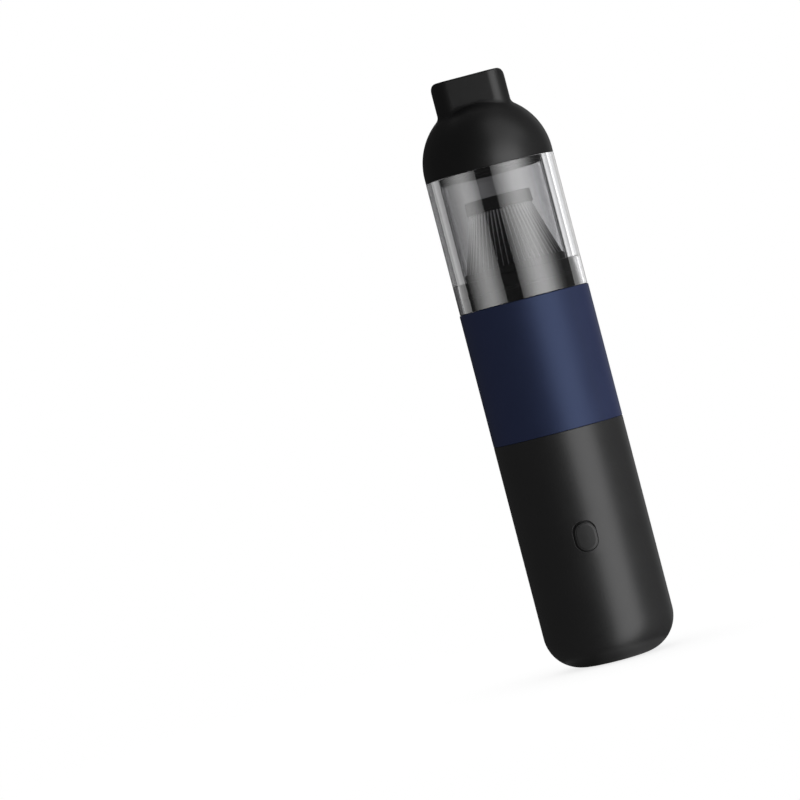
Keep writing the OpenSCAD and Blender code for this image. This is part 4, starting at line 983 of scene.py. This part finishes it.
class VACUUM_OT_dome(bpy.types.Operator):
    """Make the dome with the nozzle, the duct and the flap's ears"""
    bl_idname = "vacuum.make_dome"
    bl_label = "Dome and nozzle"

    def execute(self, context):
        n = context.scene.vacuum.nozzle
        mesh = bmesh.new()
        rows = []
        for point in rounded_loop(n.width, n.depth, n.corner, *NOZZLE_STEPS):
            angle = math.atan2(point.y, point.x)
            outline = nozzle_outline(n, angle, point.length)
            rows.append([mesh.verts.new(polar(r, angle, z)) for r, z in outline])
        join_rows(mesh, rows + rows[:1])
        # The dome's finish is the darkened black, painted shade
        look = ("dome_satin", "dust_cup")
        finish_piece("dome_nozzle", close_up(mesh), *look, ["front_dome"], slot="black_satin", crease=40.0)
        finish_piece("hinge_ears", hinge_ears(), *look, slot="black_satin")
        return {"FINISHED"}


class VACUUM_OT_filter(bpy.types.Operator):
    """Make the pleated filter with its cap and base"""
    bl_idname = "vacuum.make_filter"
    bl_label = "Filter"

    def execute(self, context):
        f = context.scene.vacuum.filter
        mesh = bmesh.new()
        mesh.from_mesh(grow(
            bpy.data.meshes.new("blank"), pleated_cone_tree(), Pleats=f.pleats, Foot_Radius=PLEATS[1].x,
            Top_Radius=f.top_radius, Fold_Depth=f.fold_depth, Foot_Height=PLEATS[0].z,
            Top_Height=PLEATS[1].z, Finish=finish_called("filter_paper"),
        ))
        paper = close_up(mesh)
        folds = finish_piece("filter_folds", paper, "filter_paper", "filter", ["filter_pleats"], crease=60.0)
        wall = folds.modifiers.new("Paper", "SOLIDIFY")
        wall.thickness = f.paper
        wall.offset = -1.0

        rim_wall, roof_gap, crown = 0.0007, 0.0001, 0.0007
        fine, soft, low_edge, high_edge = 0.0002, 0.0003, 0.0004, 0.0006
        low, high = CAP
        rim, roof_z = high.x - rim_wall, PLEATS[1].z + roof_gap
        cap = soft_outline([
            (0.0, roof_z, 0), (rim, roof_z, 0), (rim, low.z, fine), (high.x, low.z, soft),
            (high.x - f.cap_draft, high.z, crown), (0.0, high.z, 0),
        ])
        finish_piece("filter_top", close_up(lathe(cap)), "filter_plastic", "filter", ["filter_cap"])
        low, high = FOOT
        base = soft_outline([
            (f.bore_radius, low.z, soft), (high.x, low.z, low_edge),
            (high.x, high.z, high_edge), (f.bore_radius, high.z, soft),
        ])
        finish_piece("filter_foot", close_up(lathe(base)), "filter_plastic", "filter", ["filter_base"])
        return {"FINISHED"}


class VACUUM_OT_inner_works(bpy.types.Operator):
    """Give every CAD node that shows its own finish"""
    bl_idname = "vacuum.finish_inner_works"
    bl_label = "Inner works"

    def execute(self, context):
        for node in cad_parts.values():
            if not node.hide_render:
                slot = node.material_slots[0]
                slot.material = finish_called(slot.material.name)
        return {"FINISHED"}


# Stage

# Glow of the panels: shares of their radiance, at heights or from one side to the other
KEY_GLOW = ((-2.2, 0.4), (-1.2, 0.7), (-0.5, 1.0), (0.25, 1.0), (0.36, 0.85), (0.45, 0.7), (0.55, 0.6))
KEY_TOP_GLOW = ((0.55, 0.45), (0.8, 0.35), (1.3, 0.28), (2.6, 0.28))
RIGHT_GLOW = (
    (0.0, 0.15), (0.05, 0.22), (0.15, 0.41), (0.235, 0.6), (0.31, 0.8), (0.38, 0.96), (0.45, 1.0),
    (0.52, 0.95), (0.59, 0.72), (0.67, 0.5), (0.755, 0.25), (0.86, 0.07), (1.0, 0.0),
)
LEFT_GLOW = (
    (0.0, 0.0), (0.145, 0.18), (0.28, 0.4), (0.4, 0.67), (0.5, 0.87), (0.6, 1.0), (0.7, 0.89), (0.805, 0.65),
    (0.92, 0.36), (1.0, 0.22),
)
# Radii of the drums that the cards lie on, and the cards' tones at distances left and right of the axis
DRUM, FAR_DRUM = 0.7, 2.5
FRONT_TONES = ((-0.7, 0.07), (0.0, 0.115), (0.35, 0.6), (0.616, 0.75), (0.658, 0.1), (0.7, 0.05))
BACK_TONES = (
    (-0.7, 0.05), (-0.6, 0.08), (-0.56, 0.3), (-0.5, 0.38), (-0.43, 0.62), (-0.405, 0.62), (-0.385, 0.12),
    (-0.34, 0.18), (-0.28, 0.26), (-0.18, 0.32), (-0.14, 0.28), (-0.06, 0.4), (-0.037, 0.28), (-0.01, 0.2),
    (0.02, 0.28), (0.048, 0.4), (0.075, 0.52), (0.105, 0.92), (0.13, 1.12), (0.17, 1.4), (0.25, 1.4),
    (0.3, 2.0), (0.35, 3.0), (0.375, 3.0), (0.385, 0.75), (0.42, 0.7), (0.5, 1.1), (0.53, 1.45),
    (0.57, 0.1), (0.7, 0.05),
)
FLAG_TONES = ((-2.5, 0.05), (-1.25, 0.05), (0.0, 0.02), (2.5, 0.12))
# Name, radius, angles, tones, extra light for dull surfaces, and the rays that see the card
CARDS = (
    ("front_surround", DRUM, HALF_TURN, TURN, FRONT_TONES, 0.7, "transmission"),
    ("back_surround", DRUM, 0.0, HALF_TURN, BACK_TONES, 0.0, "transmission"),
    ("dark_flags", FAR_DRUM, 0.0, TURN, FLAG_TONES, 0.0, "glossy"),
)
# Sheen of the table under the base, from its middle to its rim and from left to right
SHEEN_RADIUS, SHEEN_Z = 0.03, -0.0004
SHEEN_RIM = ((0.0, 0.2), (0.5, 0.2), (0.7, 0.25), (0.84, 0.42), (0.95, 0.7), (1.0, 0.8))
SHEEN_SIDE = (
    (0.0, 0.2), (0.2, 0.06), (0.3, 0.05), (0.5, 0.4), (0.6, 0.85), (0.7, 0.95), (0.85, 0.5), (1.0, 0.25),
)
# Half the floor's side, and the distances from the axis between which its paint and glow turn to white
FLOOR_HALF, FLOOR_NEAR, FLOOR_FAR = 6.0, 0.06, 0.4
FLOOR_PAINT, FLOOR_GLOW = (0.6, 0.6, 0.6), 0.78
# Side of the picture in pixels, width of the sensor in millimetres, and rounds of aiming the camera
PICTURE, SENSOR, AIM_ROUNDS = 800.0, 36.0, 8


def add_light(name, azimuth, distance, width, height, z, radiance):
    """A soft panel that faces the axis; azimuth is turned from the camera's side towards +X."""
    lamp = bpy.data.lights.new(name, "AREA")
    lamp.shape = "RECTANGLE"
    lamp.size, lamp.size_y = width, height
    lamp.energy = radiance * math.pi * width * height
    panel = add_object(name, lamp)
    panel.location = place = polar(distance, FRONT + azimuth, z)
    panel.rotation_euler = Vector((place.x, place.y, 0.0)).to_track_quat("Z", "Y").to_euler()
    panel.visible_camera = False
    return panel


def panel_between(name, start, end, radiance, distance=0.75, height=0.9, z=0.2):
    """A panel that fills the degrees from start to end, seen from the axis."""
    width = 2 * distance * math.tan(math.radians(end - start) / 2)
    return add_light(name, math.radians(start + end) / 2, distance, width, height, z, radiance)


def fade(panel, axis, stops):
    """Makes a panel's glow change across it or up it."""
    wires = clear_tree(panel.data)
    place = wires.split(wires.add("ShaderNodeNewGeometry")["Parametric"])
    wires.end(wires.add("ShaderNodeEmission", Strength=wires.ramp(place[axis], stops))[0], "Light")


def tall_panel(name, start, end, radiance, glow):
    """A panel whose glow is told at heights from its lower to its upper end."""
    low, high = glow[0][0], glow[-1][0]
    panel = panel_between(name, start, end, radiance, height=high - low, z=(low + high) / 2)
    fade(panel, "Y", [((z - low) / (high - low), share) for z, share in glow])
    return panel


def link_light(panel, objects, state):
    """Lights only some objects (INCLUDE) or all others (EXCLUDE)."""
    group = bpy.data.collections.new(panel.name + "_" + state.lower())
    for o in objects:
        group.objects.link(o)
    panel.light_linking.receiver_collection = group
    for entry in group.collection_objects:
        entry.light_linking.link_state = state


def stage_sheet(name, points, faces, material, *seen_by):
    """A sheet of the stage that only some kinds of rays see."""
    data = bpy.data.meshes.new(name)
    data.from_pydata(points, [], faces)
    data.materials.append(material)
    sheet = add_object(name, data)
    for kind in ("camera", "diffuse", "glossy", "transmission", "shadow"):
        setattr(sheet, "visible_" + kind, kind in seen_by)
    return sheet


def drum_card(name, radius, start, end, tones, lift, seen_by, ends=(-2.0, 3.0), steps=64):
    """Part of an upright drum round the part, closed at its ends."""
    angles = spread(start, end, steps)
    total = len(angles)
    points = [polar(radius, a, z) for z in ends for a in angles]
    faces = [(i, i + 1, total + i + 1, total + i) for i in range(steps)]
    faces += [tuple(range(total)), tuple(range(total, 2 * total))]
    return stage_sheet(name, points, faces, card_material(name, radius, tones, lift), seen_by)


def card_material(name, radius, tones, lift):
    """Glow that changes from left to right; lift adds to the light that it gives to dull surfaces."""
    material = bpy.data.materials.new(name)
    wires = clear_tree(material)
    share = wires.map_range(wires.split(wires.place())["X"], -radius, radius)
    tone = wires.ramp(share, [((x + radius) / (2 * radius), tone) for x, tone in tones])
    dull = wires.math("MINIMUM", 1.0, wires.add("ShaderNodeLightPath")["Diffuse Depth"])
    wires.end(wires.add("ShaderNodeEmission", Strength=wires.plus(tone, wires.times(lift, dull)))[0])
    return material


def floor_material():
    """Pale floor that takes the shadow near the part and goes over into the white backdrop."""
    material = bpy.data.materials.new("studio_floor")
    wires = clear_tree(material)
    far = wires.map_range(wires.size(wires.place()), FLOOR_NEAR, FLOOR_FAR, kind="SMOOTHSTEP")
    paint = wires.add("ShaderNodeBsdfDiffuse", Color=opaque(FLOOR_PAINT))[0]
    glow = wires.add("ShaderNodeEmission", Strength=FLOOR_GLOW)[0]
    lit = wires.add("ShaderNodeAddShader", paint, glow)[0]
    white = wires.add("ShaderNodeEmission", Strength=1.0)[0]
    wires.end(wires.add("ShaderNodeMixShader", far, lit, white)[0])
    return material


def sheen_material():
    """Sheen of the table under the base: brighter towards the right and towards its rim."""
    material = bpy.data.materials.new("base_glow")
    wires = clear_tree(material)
    place = wires.place()
    out = wires.over(wires.size(place), SHEEN_RADIUS)
    across = wires.plus(0.5, wires.over(wires.split(place)["X"], 2 * SHEEN_RADIUS))
    wires.end(wires.add(
        "ShaderNodeEmission", Color=wires.ramp(out, SHEEN_RIM), Strength=wires.ramp(across, SHEEN_SIDE)
    )[0])
    return material


def set_world(ambient):
    """White for what the camera sees and what glass and gloss show, even soft light for the rest."""
    world = bpy.data.worlds.new("studio_world")
    bpy.context.scene.world = world
    wires = clear_tree(world)
    path = wires.add("ShaderNodeLightPath")
    mirrored = wires.math("MAXIMUM", path["Is Glossy Ray"], path["Is Transmission Ray"])
    seen = wires.math("MAXIMUM", path["Is Camera Ray"], mirrored)
    strength = wires.mix(seen, ambient, 1.0)
    wires.end(wires.add("ShaderNodeBackground", opaque((1.0, 1.0, 1.0)), strength)[0], "World")


def set_camera(s):
    """Hangs the picture on a point of the axis, with the part leaning to the left."""
    lens = bpy.data.cameras.new("photo_camera")
    lens.sensor_width = SENSOR
    lens.lens = s.focal * SENSOR / PICTURE
    lens.clip_start, lens.clip_end = 0.05, 50.0
    camera = add_object("photo_camera", lens)
    camera.location = (0.0, -s.distance, s.height)
    across, down = (s.aim_across - PICTURE / 2) / s.focal, (s.aim_down - PICTURE / 2) / s.focal
    c, d = math.cos(s.roll), math.sin(s.roll)
    offset_x, offset_z = across * c - down * d, -across * d - down * c
    to_point = (Vector((0.0, 0.0, s.aim_z)) - camera.location).normalized()

    def sides(ahead):
        right = ahead.cross(Vector((0.0, 0.0, 1.0))).normalized()
        return right, right.cross(ahead)

    ahead = to_point.copy()
    for _ in range(AIM_ROUNDS):
        right, above = sides(ahead)
        depth = to_point.dot(ahead)
        miss_x = to_point.dot(right) / depth - offset_x
        miss_z = to_point.dot(above) / depth - offset_z
        ahead = (ahead + right * miss_x + above * miss_z).normalized()
    right, above = sides(ahead)
    turn = Matrix((right * c - above * d, right * d + above * c, -ahead)).transposed()
    camera.rotation_euler = turn.to_euler()
    bpy.context.scene.camera = camera


class VACUUM_OT_stage(bpy.types.Operator):
    """Set the floor, the cards, the lights and the camera"""
    bl_idname = "vacuum.set_stage"
    bl_label = "Stage"

    def execute(self, context):
        s = context.scene.vacuum.stage
        context.scene.view_settings.view_transform = "Standard"
        set_world(s.ambient)
        set_camera(s)

        h = FLOOR_HALF
        corners = [(-h, -h, 0), (h, -h, 0), (h, h, 0), (-h, h, 0)]
        floor = stage_sheet("floor", corners, [(0, 1, 2, 3)], floor_material(), "camera", "transmission")
        disc = [polar(SHEEN_RADIUS, a, SHEEN_Z) for a in spread(0.0, TURN, 48)[:-1]]
        stage_sheet("base_glow", disc, [tuple(range(len(disc)))], sheen_material(), "glossy")
        for card in CARDS:
            drum_card(*card)

        cup = [bpy.data.objects["cup_wall"]]
        key = tall_panel("key_panel", 11.5, 60.0, s.key, KEY_GLOW)
        key_top = tall_panel("key_top_panel", 18.0, 85.0, s.key, KEY_TOP_GLOW)
        crown = add_light(
            "crown_panel", HALF_TURN, distance=0.5, width=1.6, height=0.4, z=1.7, radiance=0.28
        )
        crown.rotation_euler = (0.0, 0.0, 0.0)
        rim = panel_between("rim_panel", 140.0, 195.0, radiance=0.24, distance=1.0, height=1.0, z=0.3)
        for panel in (key, key_top, crown, rim):
            link_light(panel, cup, "EXCLUDE")
        for panel in (key, key_top, crown):
            panel.visible_diffuse = False
        fill = panel_between("side_panel", 60.0, 115.0, s.side, height=1.2)
        link_light(fill, cup + [floor], "EXCLUDE")
        fill.visible_glossy = False

        right = panel_between("cup_right", 0.5, 88.0, s.cup)
        fade(right, "X", RIGHT_GLOW)
        left = panel_between("cup_left", -97.0, -27.0, 0.75 * s.cup)
        fade(left, "X", LEFT_GLOW)
        far_right = panel_between("cup_far_right", 106.0, 165.0, 0.22 * s.cup)
        far_left = panel_between("cup_far_left", -131.0, -104.0, 0.25 * s.cup)
        for panel in (far_right, far_left):
            panel.visible_transmission = False
        for panel in (right, left, far_right, far_left):
            link_light(panel, cup, "INCLUDE")
        return {"FINISHED"}


class VACUUM_PT_panel(bpy.types.Panel):
    """Lists the pieces of the vacuum cleaner"""
    bl_idname = "VACUUM_PT_panel"
    bl_label = "Vacuum cleaner"
    bl_space_type = "VIEW_3D"
    bl_region_type = "UI"
    bl_category = "Vacuum"

    def draw(self, context):
        for operator in OPERATORS:
            self.layout.operator(operator.bl_idname)


GROUPS = (
    VacuumBody, VacuumOpenings, VacuumButton, VacuumCup, VacuumNozzle, VacuumFilter, VacuumColours,
    VacuumStage, VacuumSettings,
)
OPERATORS = (
    VACUUM_OT_finishes, VACUUM_OT_handle, VACUUM_OT_sleeve, VACUUM_OT_button, VACUUM_OT_cup, VACUUM_OT_dome,
    VACUUM_OT_filter, VACUUM_OT_inner_works, VACUUM_OT_stage,
)
CLASSES = GROUPS + OPERATORS + (VACUUM_PT_panel,)


def register():
    for kind in CLASSES:
        bpy.utils.register_class(kind)
    bpy.types.Scene.vacuum = PointerProperty(type=VacuumSettings)


def unregister():
    del bpy.types.Scene.vacuum
    for kind in CLASSES[::-1]:
        bpy.utils.unregister_class(kind)


def main():
    register()
    bpy.ops.vacuum.make_finishes()
    bpy.ops.vacuum.make_handle()
    bpy.ops.vacuum.make_sleeve()
    bpy.ops.vacuum.make_button()
    bpy.ops.vacuum.make_cup()
    bpy.ops.vacuum.make_dome()
    bpy.ops.vacuum.make_filter()
    bpy.ops.vacuum.finish_inner_works()
    bpy.ops.vacuum.set_stage()


if __name__ == "__main__":
    main()
